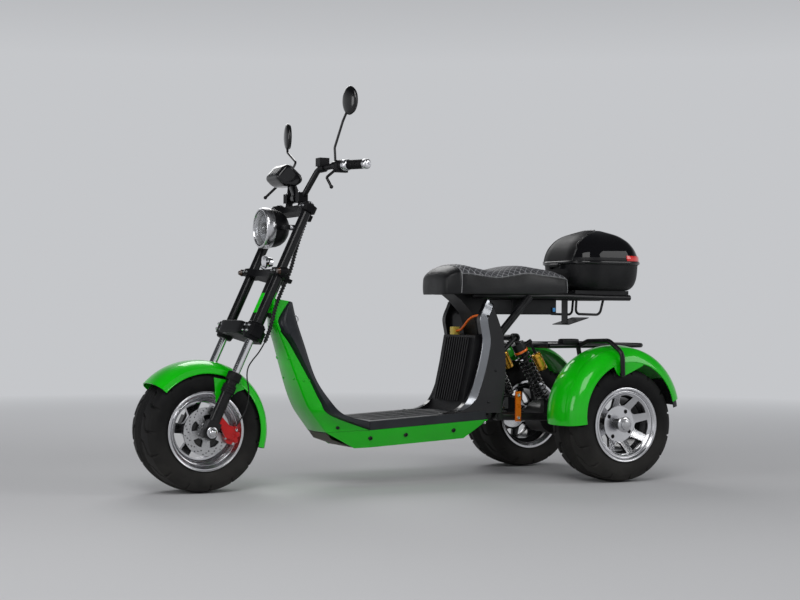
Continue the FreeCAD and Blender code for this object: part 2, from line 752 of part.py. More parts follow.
def main_frame():
    head_top = mid_clamp_bottom - 2
    head_bottom = crown_bottom + crown_height + 2
    head = on_fork(rod(point(-stem_setback, 0, head_bottom), point(-stem_setback, 0, head_top), head_tube_radius))
    stem_room = on_fork(rod(point(-stem_setback, 0, head_bottom - 10), point(-stem_setback, 0, head_top + 10),
                            stem_radius + fit_gap))
    down = pipe(down_tube_points(), down_tube_radius, 60.0)
    rail_top = -deck_thickness
    rail_bottom = rail_top - rail_size
    pieces = []
    for side in (rail_half_spacing, -rail_half_spacing):
        pieces.append(on_floor(block(floor_rear - 40, floor_front - 10, side - 15, side + 15, rail_bottom, rail_top)))
    for at in (floor_front - 60, floor_front - 200, -60, floor_rear + 60):
        pieces.append(on_floor(block(at - 15, at + 15, -rail_half_spacing, rail_half_spacing, rail_bottom, rail_top)))
    foot = upright_points()[0]
    cross_foot = rod(point(foot.x, -foot.y, foot.z), foot, 14)
    frame = [head, down, cross_foot]
    frame += pair(pipe(upright_points(), upright_radius, 60.0))
    frame += pair(pipe(rail_points(), seat_rail_radius, 60.0))
    for forward in (290, 76, -238):
        height = seat_rail_height - 2
        frame.append(rod(by_rear(forward, -seat_rail_half_spacing + 6, height),
                         by_rear(forward, seat_rail_half_spacing - 6, height), 9))
    frame += pair(pipe([by_rear(8, 112, case_rail_height - 6), by_rear(4, 100, case_rail_height - 66),
                        by_rear(-112, 100, case_rail_height - 69), by_rear(-124, 108, case_rail_height - 6)], 5, 22.0))
    shock_bar_end = shock_top()
    start = upright_points()[1] + point(-10, 0, 60)
    frame += pair(rod(start, shock_bar_end, 10))
    frame.append(rod(point(shock_bar_end.x, -shock_bar_end.y, shock_bar_end.z), shock_bar_end, 12))
    pivot = by_rear(pivot_forward, 0, pivot_height)
    pin_half = upright_half_spacing + 20
    frame.append(rod(pivot + point(0, -pin_half, 0), pivot + point(0, pin_half, 0), pivot_radius))
    frame += pair(block(pivot.x - 14, foot.x, 108, 116, pivot.z - 22, pivot.z + 18))
    whole = frame[0]
    for shape in frame[1:] + pieces:
        whole = whole.fuse(shape)
    save("main_frame", [whole.cut(stem_room)])


def floor():
    half = floor_half_width
    shell = block(floor_rear, floor_front, -half, half, -skirt_depth, 0)
    shell = shell.cut(block(floor_rear - 1, floor_front + 1, deck_thickness - half, half - deck_thickness,
                            -skirt_depth - 1, -deck_thickness))
    shell = on_floor(shell)
    for room in pair(pipe(upright_points(), upright_radius + fit_gap, 60.0)):
        shell = shell.cut(room)
    save("footboard", [shell])
    mat = block(floor_rear + 130, floor_front - 30, 40 - half, half - 40, 0, 3)
    save("floor_mat", [on_floor(mat)])

    top_front, top_rear = floor_front + 60, floor_rear - 10
    low_front, low_rear = floor_front - 8, floor_rear + 86
    face = outline([(top_front - 60, -skirt_depth), (top_rear, -skirt_depth), (low_rear, -skirt_depth - sill_depth),
                    (low_front, -skirt_depth - sill_depth)], lambda a, b: point(a, half + (b + skirt_depth) * (
                        half - sill_foot_half_width) / sill_depth, b))
    under = -skirt_depth - sill_depth
    corner = floor_place(*nose_corner)
    edge = floor_place(floor_front, half, -skirt_depth)
    low = floor_place(low_front, sill_foot_half_width, under)
    fore = low + (corner - edge) * 0.34
    facet = Part.Face(ring_wire([corner, edge, low, fore])).extrude(point(0, -4, 0))
    sill = joined([on_floor(face.extrude(point(0, -4, 0))), facet])
    save("sill_panels", pair(sill))
    foot = sill_foot_half_width - 4
    nose_foot = low_front + 44
    pan = top_slab([(low_front, -foot), (nose_foot, 30 - foot), (nose_foot, foot - 30), (low_front, foot),
                    (low_rear, foot), (low_rear, -foot)], under, under + 4)
    nose = side_slab([(nose_foot - 10, under), (nose_foot, under), (nose_corner[0] - 21, under + 32),
                      (nose_corner[0] - 2, nose_corner[2] - 3), (nose_corner[0] - 7, nose_corner[2] - 2),
                      (nose_corner[0] - 24, under + 36), (nose_foot, under + 4), (nose_foot - 10, under + 4)], -78, 78)
    hangers = [block(at - 6, at + 6, -60, 60, under + 4, -deck_thickness - rail_size) for at in (60, -60)]
    save("belly_pan", [on_floor(joined([pan, nose] + hangers)).cut(frame_room())])


# Seat housing, with the battery case between the covers

def housing():
    high = seat_rail_height
    points = [(518, 290), (483, high - 285), (462, high - 171), (474, high - 99), (458, high - 49), (436, high - 15),
              (404, high - 69, True), (374, high - 149), (362, high - 239), (362, 384), (384, 262), (500, 262),
              (514, 270, True)]
    placed = [(rear_axle_x + entry[0],) + tuple(entry[1:]) for entry in points]
    cover = side_slab(placed, cover_inner, cover_outer)
    floor_room = on_floor(block(-700, 700, -400, 400, -300, 0))
    room = pipe(upright_points(), upright_radius + fit_gap, 60.0)
    brace_room = rod(upright_points()[1] + point(-10, 0, 60), shock_top(), 10 + fit_gap)
    cover = cover.cut(floor_room).cut(room).cut(brace_room)
    cover = max(cover.Solids, key=lambda solid: solid.Volume)
    save("housing_covers", pair(cover))

    front_points = [(552, 262), (534, 300), (500, 450), (480, battery_top), (392, battery_top), (392, 262)]
    placed = [(rear_axle_x + a, b) for a, b in front_points]
    case = side_slab(placed, -cover_inner, cover_inner)
    rib_count = 11
    for index in range(rib_count):
        y = -88 + 176.0 * index / (rib_count - 1)
        rib_points = [(526, 304), (542, 304), (508, 452), (490, battery_top - 8), (472, battery_top - 8)]
        case = case.fuse(side_slab([(rear_axle_x + a, b) for a, b in rib_points], y - 4, y + 4))
    case = case.removeSplitter().cut(floor_room)
    plug = block(rear_axle_x + 448, rear_axle_x + 476, -80, -54, battery_top, battery_top + 28)
    uprights = pair(room)
    for shape in uprights:
        case = case.cut(shape)
    save("battery_case", [joined([case, plug])])
    route = [by_rear(462, -54, 572), by_rear(462, -22, 572), by_rear(468, 14, 590), by_rear(468, 50, 616),
             by_rear(462, 88, 632), by_rear(462, cover_inner, 632)]
    save("battery_cable", [cable("battery_cable", route, 4.5)])


def seat():
    # forward of the rear axle, half width, underside, top
    stations = [(600, 66, seat_underside + 14, seat_underside + 52), (586, 92, seat_underside + 2, seat_underside + 78),
                (560, 108, seat_underside, seat_underside + 90), (510, 124, seat_underside, seat_underside + 86),
                (430, 134, seat_underside, seat_underside + 72), (370, 138, seat_underside, seat_underside + 76),
                (297, seat_half_width, seat_underside, seat_underside + 92),
                (190, 134, seat_underside, seat_underside + 78), (94, 120, seat_underside, seat_underside + 56),
                (70, 104, seat_underside, seat_underside + 42)]
    wires = []
    for forward, half, low, high in stations:
        mid = (low + high) / 2
        points = [(-half, low), (half, low), (half + 3, mid, True), (half - 12, high - 16), (0, high, True),
                  (12 - half, high - 16), (-half - 3, mid, True)]
        wires.append(outline(points, lambda a, b: point(rear_axle_x + forward, a, b)).OuterWire)
    save("seat_cushion", [loft(wires)])
    base_low = seat_rail_height + seat_rail_radius
    base = top_slab([(rear_axle_x + 572, -84), (rear_axle_x + 572, 84), (rear_axle_x + 400, 122),
                     (rear_axle_x + 84, 112), (rear_axle_x + 84, -112), (rear_axle_x + 400, -122)],
                    base_low, seat_underside - fit_gap)
    rise = base_low - battery_top
    neck_points = [(544, base_low), (500, base_low - 0.19 * rise), (452, base_low - 0.49 * rise),
                   (436, base_low - 0.73 * rise), (430, battery_top), (398, battery_top),
                   (400, base_low - 0.49 * rise), (380, base_low)]
    neck = side_slab([(rear_axle_x + a, b) for a, b in neck_points], -52, 52)
    rails = pair(pipe(rail_points(), seat_rail_radius + fit_gap, 60.0))
    neck = joined([base, neck])
    for shape in rails:
        neck = neck.cut(shape)
    save("seat_base", [neck])
    box_top = seat_rail_height - 11
    box = block(rear_axle_x + 92, rear_axle_x + 300, -96, 96, box_top - under_box_depth, box_top)
    save("under_seat_box", [box])


# Top case on its carrier

def top_case():
    centre_x = rear_axle_x - case_centre_back
    tub = loft([rounded_wire(centre_x, case_floor, case_length - 90, case_width - 100, case_corner - 30),
                rounded_wire(centre_x, case_floor + 30, case_length - 30, case_width - 40, case_corner),
                rounded_wire(centre_x, case_rim, case_length - 6, case_width - 6, case_corner)])
    tub_room = loft([rounded_wire(centre_x, case_floor + case_wall, case_length - 98, case_width - 108, case_corner - 34),
                     rounded_wire(centre_x, case_floor + 30, case_length - 38, case_width - 48, case_corner - 4),
                     rounded_wire(centre_x, case_rim + 1, case_length - 14, case_width - 14, case_corner - 4)])
    latch = block(centre_x - case_length / 2 - 10, centre_x - case_length / 2 + 20, -30, 30, case_rim - 50, case_rim - 4)
    hinge = point(centre_x + case_length / 2 + hinge_forward, 0, case_rim - 2)
    pin = rod(hinge + point(0, -44, 0), hinge + point(0, 44, 0), hinge_pin_radius)
    ears = pair(joined([block(hinge.x - 22, hinge.x + 4, 34, 44, hinge.z - 16, hinge.z + 1.5),
                        rod(hinge + point(0, 34, 0), hinge + point(0, 44, 0), hinge_pin_radius + 3)]))
    tub = joined([tub, latch, pin] + ears).cut(tub_room)
    save("case_tub", [tub])
    lid_base = case_rim + 1
    height = case_top - lid_base
    # columns: share of the lid's height, share of the case's length and width
    dome = [(0.0, 1.0), (0.15, 1.0), (0.38, 0.94), (0.55, 0.86), (0.71, 0.74), (0.87, 0.53), (1.0, 0.2)]
    lid = loft([rounded_wire(centre_x, lid_base + height * up, case_length * share, case_width * share,
                             case_corner * share) for up, share in dome])
    thick = 2 * case_wall
    lid_room = loft([rounded_wire(centre_x, lid_base - 1 + (height - case_wall) * up, case_length * share - thick,
                                  case_width * share - thick, case_corner * share - case_wall) for up, share in dome])
    knuckle = rod(hinge + point(0, -28, 0), hinge + point(0, 28, 0), hinge_pin_radius + 4)
    strap = block(hinge.x - 20, hinge.x, -28, 28, hinge.z + 3.4, hinge.z + 7)
    pin_room = rod(hinge + point(0, -60, 0), hinge + point(0, 60, 0), hinge_pin_radius + fit_gap)
    lid = joined([lid.cut(lid_room), knuckle, strap.cut(lid_room)]).cut(pin_room)
    save("case_lid", [lid])
    plate_low = case_rail_height + seat_rail_radius
    plate = top_slab([(centre_x - 108, -110), (centre_x - 108, 110), (centre_x + 150, 110), (centre_x + 150, -110)],
                     plate_low, case_floor)
    plate = plate.cut(block(centre_x - 86, centre_x + 100, -60, 60, plate_low - 1, plate_low + 8))
    for rail_side in pair(pipe(rail_points(), seat_rail_radius + fit_gap, 60.0)):
        plate = plate.cut(rail_side)
    bracket = block(-60, 40, -60, 60, 0, 3)
    for side in (plate_hole_spacing / 2, -plate_hole_spacing / 2):
        bracket = bracket.cut(Part.makeCylinder(plate_hole_radius, 20, point(-plate_hole_back, side, -10)))
    bracket = turned_by(bracket, origin, y_axis, plate_tilt)
    bracket = moved(bracket, by_rear(-30, 0, plate_height))
    cross_low = seat_rail_height - 2 - 9
    riser = block(rear_axle_x + 76 - 88, rear_axle_x + 76 - 84, -20, 20, plate_height - 6, cross_low)
    hook = block(rear_axle_x - 12, rear_axle_x + 76, -20, 20, cross_low - 4, cross_low)
    save("case_carrier", [plate, joined([bracket, riser, hook])])


# Rear axle, suspension, fenders and rack

def rear_end():
    axle_y = half_track - rim_half_width - 10
    housing_tube = Part.makeCylinder(26, 2 * axle_y, by_rear(0, -axle_y, tyre_radius), y_axis)
    shaft = Part.makeCylinder(axle_radius, 2 * (half_track + 60), by_rear(0, -half_track - 60, tyre_radius), y_axis)
    gearbox = Part.makeCylinder(72, 110, by_rear(0, -55, tyre_radius), y_axis)
    motor = Part.makeCylinder(62, 120, by_rear(96, -40, tyre_radius + 10), y_axis)
    save("rear_axle_housing", [joined([housing_tube, shaft, gearbox, motor])])

    arm_y = 140.0
    arm_radius = 16.0
    pivot = by_rear(pivot_forward, arm_y, pivot_height)
    arm = pipe([pivot, by_rear(158, arm_y, 236), by_rear(34, arm_y, tyre_radius)], arm_radius, 100.0)
    eye = rod(pivot + point(0, -17, 0), pivot + point(0, 17, 0), 17)
    pin_room = rod(pivot + point(0, -60, 0), pivot + point(0, 60, 0), pivot_radius + fit_gap)
    arm = joined([arm, eye]).cut(pin_room)
    pads = block(rear_axle_x - 34, rear_axle_x + 34, arm_y - 22, arm_y + 22, tyre_radius - 34, tyre_radius + 34)
    hole = Part.makeCylinder(26 + fit_gap, 600, by_rear(0, -300, tyre_radius), y_axis)
    ear = block(rear_axle_x + 146, rear_axle_x + 182, arm_y - 20, arm_y + 6, 236, 300)
    cross = rod(by_rear(330, -arm_y, 243), by_rear(330, arm_y, 243), 12)
    motor_room = Part.makeCylinder(62 + 2, 124, by_rear(96, -42, tyre_radius + 10), y_axis)
    swing = joined(pair(arm) + pair(joined([pads, ear])) + [cross]).cut(hole).cut(motor_room)
    save("swing_arm", [swing])

    # Coil-over shocks between the frame's cross tube and the arms' ears
    low = by_rear(164, arm_y - 7, 288)
    high = shock_top()
    along = low.sub(high)
    length = along.Length
    along.normalize()
    bodies = []
    springs = []
    eye_low = Part.makeCylinder(13, 20, low + point(0, -10, 0), y_axis)
    eye_high = Part.makeCylinder(18, 22, high + point(0, -11, 0), y_axis)
    damper = rod(high + along * 16, low - along * 10, 8)
    top_cup = rod(high + along * 24, high + along * 62, 26)
    low_cup = rod(low - along * 34, low - along * 26, 26)
    body = joined([eye_low, eye_high, damper, top_cup, low_cup])
    tube_room = rod(high + point(0, -300, 0), high + point(0, 60, 0), 12 + fit_gap)
    brace_room = rod(upright_points()[1] + point(-10, 0, 60), high, 10 + fit_gap)
    ear_room = block(rear_axle_x + 146, rear_axle_x + 182, arm_y - 20, arm_y + 6, 236, 300)
    across = point(along.z, 0, -along.x) * reservoir_offset
    reservoir = rod(high + along * 100 + across, high + along * 168 + across, 18)
    neck = rod(high + along * 40 + across, high + along * 102 + across, 6)
    lug = rod(high + along * 44, high + along * 44 + across * 1.1, 8)
    body = joined([body, reservoir, neck, lug]).cut(tube_room).cut(brace_room).cut(ear_room)
    body = max(body.Solids, key=lambda solid: solid.Volume)
    save("shock_bodies", pair(body))
    coil_start = high + along * 62.3
    coil_length = length - 34 - 62.6
    turns = 7
    wire_radius = 4.5
    coil_radius = 26.0
    pitch = coil_length / turns
    profile = [(coil_radius - wire_radius - 3, 0), (coil_radius - wire_radius, 0)]
    for index in range(1, turns + 1):
        profile += [(coil_radius + wire_radius, (index - 0.5) * pitch, True),
                    (coil_radius - wire_radius, index * pitch)]
    profile += [(coil_radius - wire_radius - 3, coil_length)]
    coil = outline(profile, lambda a, b: point(a, 0, b)).revolve(origin, z_axis, 360)
    spin = FreeCAD.Rotation(z_axis, along)
    coil.Placement = FreeCAD.Placement(coil_start, spin)
    save("shock_springs", pair(coil))

    bar = block(rear_axle_x + 299, rear_axle_x + 321, arm_y + arm_radius + fit_gap, arm_y + arm_radius + 9, 224, 339)
    save("link_bars", pair(bar))


def rear_fenders():
    wall = fender_wall
    # radius and offset from the wheel's middle, inner edge to outer edge
    crown = fender_crown
    inside = crown - 29
    outer = [(inside, -110), (crown - 13, -84, True), (crown - 2, -40), (crown, 0, True), (crown - 6, 44),
             (crown - 26, 92, True), (fender_edge, 110)]
    inner = [(fender_edge, 110 - wall), (crown - 26 - wall, 92 - wall, True), (crown - 6 - wall, 44),
             (crown - wall, 0, True), (crown - 2 - wall, -40), (crown - 13 - wall, wall - 84, True),
             (inside, wall - 110)]
    sweep = turned(outer + inner, fender_sweep)
    shell = turned_by(sweep, origin, y_axis, fender_front_angle - fender_sweep)
    shell = moved(shell, point(-fender_set_back, 0, fender_raise))
    tab = side_slab([(-66, 222), (-74, 231), (0, 240), (74, 231), (66, 222), (52, 196), (40, 186), (24, 182), (8, 190)],
                    110 - wall, 110)
    fender = moved(joined([shell, tab]), by_rear(0, half_track, tyre_radius))
    save("rear_fenders", pair(fender))


def rack():
    height = rack_height
    front_x, rear_x = rear_axle_x + rack_front, rear_axle_x + rack_rear
    half = rack_half_width
    corners = [point(front_x, -half, height), point(rear_x, -half, height), point(rear_x, half, height),
               point(front_x, half, height)]
    loop = pipe([corners[3], corners[2], corners[1], corners[0]], rack_tube, 40.0)
    pieces = [loop, rod(corners[0], corners[3], rack_tube)]
    bar_count = 5
    for index in range(1, bar_count):
        x = front_x + (rear_x - front_x) * index / bar_count
        pieces.append(rod(point(x, -half, height), point(x, half, height), rack_tube - 3))
    for y in (-70, 70):
        pieces.append(rod(point(front_x, y, height), point(rear_x, y, height), rack_tube - 3))
    # Legs down to clamps on the axle housing
    for side in (200, -200):
        pieces.append(pipe([point(rear_axle_x + 60, side, height), point(rear_axle_x + 20, side, 330),
                            point(rear_axle_x, side, tyre_radius + 20)], 9, 30.0))
        pieces.append(Part.makeCylinder(34, 24, by_rear(0, side - 12, tyre_radius), y_axis))
    # Stays from the loop over each fender to its outer tab
    outer = half_track + half_tyre + 20
    for side in (1, -1):
        pieces.append(pipe([by_rear(66, side * half, height), by_rear(66, side * (half + 60), height + 19),
                            by_rear(54, side * (half_track + 60), height + 23), by_rear(36, side * outer, 492),
                            by_rear(34, side * outer, 404)], 9, 40.0))
        bolt_y = half_track + half_tyre + 8 + fit_gap
        pieces.append(rod(by_rear(34, side * bolt_y, 414), by_rear(34, side * outer, 414), 7))
    whole = joined(pieces)
    whole = whole.cut(Part.makeCylinder(26 + fit_gap, 2 * half_track, by_rear(0, -half_track, tyre_radius), y_axis))
    save("luggage_rack", [whole])
    lamp_box = block(rear_x - 26, rear_x - rack_tube - 1, -60, 60, height - 28, height + 8)
    loop_room = rod(point(rear_x, -300, height), point(rear_x, 300, height), rack_tube + fit_gap)
    save("tail_lamp", [joined([lamp_box, block(rear_x - 12, rear_x, -20, 20, height - 16, height - 4)]).cut(loop_room)])


# The harness down the back of the left leg, and the hose from its foot to the caliper
# columns: forward, left, up the leg
harness_points = [(-30, 84, 862), (-34, 80, 790), (-42, 84, 720), (-54, 84, 650), (-53, 82, 580), (-56, 84, 505),
                  (-70, 87, 438), (-71, 88, 378)]
harness_radius = 6.0
hose_points = [(-71, 88, 377), (-66, 92, 338), (-52, 98, 302), (-42, 108, 266), (-50, 120, 230), (-72, 126, 198),
               (-88, 126, 160), (-96, 122, 122), (-92, 116, 84), (-86, 114, 46)]
hose_radius = 2.5


def fork_route(columns):
    return [fork_place(forward, along) + point(0, left, 0) for forward, left, along in columns]


def harness_route():
    return fork_route(harness_points)


def cables():
    save("wiring_harness", [cable("wiring_harness", harness_route(), harness_radius)])
    save("brake_hose", [cable("brake_hose", fork_route(hose_points), hose_radius)])


os.makedirs("parts", exist_ok=True)
wheels()
fork()
front_fender()
front_brake()
lamp()
handlebar()
mirrors()
main_frame()
leg_shield()
floor()
housing()
seat()
top_case()
rear_end()
rear_fenders()
rack()
cables()
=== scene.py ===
import math
import bmesh
import bpy
import numpy as np
from mathutils import Matrix, Vector
from mathutils.bvhtree import BVHTree


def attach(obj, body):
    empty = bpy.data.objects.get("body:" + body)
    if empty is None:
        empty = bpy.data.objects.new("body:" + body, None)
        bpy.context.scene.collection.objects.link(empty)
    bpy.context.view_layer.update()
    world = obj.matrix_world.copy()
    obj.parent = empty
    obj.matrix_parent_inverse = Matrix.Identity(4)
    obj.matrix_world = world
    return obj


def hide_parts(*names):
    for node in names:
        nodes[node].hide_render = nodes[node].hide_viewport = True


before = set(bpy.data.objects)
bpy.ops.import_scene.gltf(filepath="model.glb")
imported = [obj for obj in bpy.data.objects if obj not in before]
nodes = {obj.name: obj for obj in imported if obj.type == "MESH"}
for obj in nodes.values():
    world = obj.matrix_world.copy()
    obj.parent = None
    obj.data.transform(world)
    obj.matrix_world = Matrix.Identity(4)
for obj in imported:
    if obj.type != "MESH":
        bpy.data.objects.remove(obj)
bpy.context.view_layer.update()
scene = bpy.context.scene
print("tricycle: frame loaded,", len(nodes), "nodes")


# Camera, floor and light

cameraPlace = {"location": (2.7483, 5.2394, 0.6434), "heading": 27.56, "pitch": 0.45, "roll": 0.24, "lens": 69.54,
               "sensor": 36.0, "clipEnd": 80.0}
studio = {"floorColour": (0.56, 0.56, 0.57), "backdrop": (0.56, 0.57, 0.59), "skyColour": (0.86, 0.88, 0.92),
          "ceiling": (0.05, 0.052, 0.056), "ceilingRise": (0.16, 0.42), "floorFade": (1.6, 6.5),
          "skyLight": 0.26, "aim": (0.0, 0.0, 0.55), "floorSize": 60.0, "floorRough": 0.75,
          "lamps": [("keyLamp", (2.2, 3.4, 3.8), 2.6, 95.0), ("sideLamp", (-3.4, 3.2, 2.6), 2.2, 46.0),
                    ("backLamp", (-0.8, -3.6, 3.4), 2.4, 60.0), ("frontLamp", (4.4, 0.6, 1.6), 1.8, 34.0)]}


def newPiece(name, data):
    piece = bpy.data.objects.new(name, data)
    scene.collection.objects.link(piece)
    return piece


def newMaterial(name):
    material = bpy.data.materials.new(name)
    material.use_nodes = True
    tree = material.node_tree
    return material, tree, tree.nodes["Principled BSDF"]


def newNode(tree, kind, **values):
    # each value is one of the node's own settings or else an input
    node = tree.nodes.new("ShaderNode" + kind)
    for key, value in values.items():
        if hasattr(node, key):
            setattr(node, key, value)
        else:
            node.inputs[key].default_value = value
    return node


def linked(tree, *pairs):
    for source, target in pairs:
        tree.links.new(source, target)


def textured(tree, kind, place, **values):
    node = newNode(tree, "Tex" + kind, **values)
    tree.links.new(place, node.inputs["Vector"])
    return node.outputs


def separated(tree, vector):
    node = newNode(tree, "SeparateXYZ")
    tree.links.new(vector, node.inputs[0])
    return node.outputs


def ranged(tree, source, low, high, toLow=0.0, toHigh=1.0):
    # low to high becomes toLow to toHigh, and stays there outside
    node = newNode(tree, "MapRange", **{"From Min": low, "From Max": high, "To Min": toLow, "To Max": toHigh})
    tree.links.new(source, node.inputs["Value"])
    return node.outputs["Result"]


def mixed(tree, factor, first, second):
    node = newNode(tree, "Mix", data_type="RGBA")
    for socket, value in ((node.inputs[6], first), (node.inputs[7], second)):
        if isinstance(value, tuple):
            socket.default_value = value + (1.0,)
        else:
            tree.links.new(value, socket)
    tree.links.new(factor, node.inputs[0])
    return node.outputs[2]


def calculated(tree, operation, first, second=None):
    node = newNode(tree, "Math", operation=operation)
    for socket, value in zip(node.inputs, (first, second)):
        if isinstance(value, (int, float)):
            socket.default_value = value
        elif value is not None:
            tree.links.new(value, socket)
    return node.outputs[0]


def placeCamera(place):
    # look direction from heading and pitch; right and up are then turned about it by the roll
    heading, pitch, roll = (math.radians(place[key]) for key in ("heading", "pitch", "roll"))
    look = np.array([-math.sin(heading) * math.cos(pitch), -math.cos(heading) * math.cos(pitch), math.sin(pitch)])
    right = np.array([-math.cos(heading), math.sin(heading), 0.0])
    up = np.cross(right, look)
    side = math.cos(roll) * right + math.sin(roll) * up
    top = np.cross(side, look)
    camera = newPiece("camera", bpy.data.cameras.new("camera"))
    camera.data.lens, camera.data.sensor_width = place["lens"], place["sensor"]
    camera.data.clip_end = place["clipEnd"]
    turn = np.eye(4)
    turn[:3] = np.stack([side, top, -look, place["location"]], 1)
    camera.matrix_world = Matrix(turn.tolist())
    scene.camera = camera


def lightStudio(values):
    # square area lamps, each turned to the aim point; camera, reflections and glass see the backdrop, which
    # darkens overhead, and all else is lit by a plain sky
    for name, place, size, power in values["lamps"]:
        lamp = bpy.data.lights.new(name, "AREA")
        lamp.energy, lamp.size = power, size
        holder = newPiece(name, lamp)
        holder.location = place
        holder.rotation_euler = (Vector(values["aim"]) - Vector(place)).to_track_quat("-Z", "Y").to_euler()
    scene.view_settings.view_transform = "Standard"
    scene.world = bpy.data.worlds.new("studioWorld")
    scene.world.use_nodes = True
    tree = scene.world.node_tree
    tree.nodes.clear()
    ray = newNode(tree, "LightPath").outputs
    seen = calculated(tree, "MAXIMUM", ray["Is Camera Ray"], ray["Is Glossy Ray"])
    seen = calculated(tree, "MAXIMUM", seen, ray["Is Transmission Ray"])
    sky, wall, pick, out = (newNode(tree, kind) for kind in ("Background", "Background", "MixShader", "OutputWorld"))
    sky.inputs[0].default_value, sky.inputs[1].default_value = values["skyColour"] + (1.0,), values["skyLight"]
    height = separated(tree, newNode(tree, "TexCoord").outputs["Generated"])[2]
    colour = mixed(tree, ranged(tree, height, *values["ceilingRise"]), values["backdrop"], values["ceiling"])
    linked(tree, (colour, wall.inputs[0]), (seen, pick.inputs[0]), (sky.outputs[0], pick.inputs[1]),
           (wall.outputs[0], pick.inputs[2]), (pick.outputs[0], out.inputs[0]))


placeCamera(cameraPlace)
lightStudio(studio)
print("tricycle: camera and light set")


# Finishes

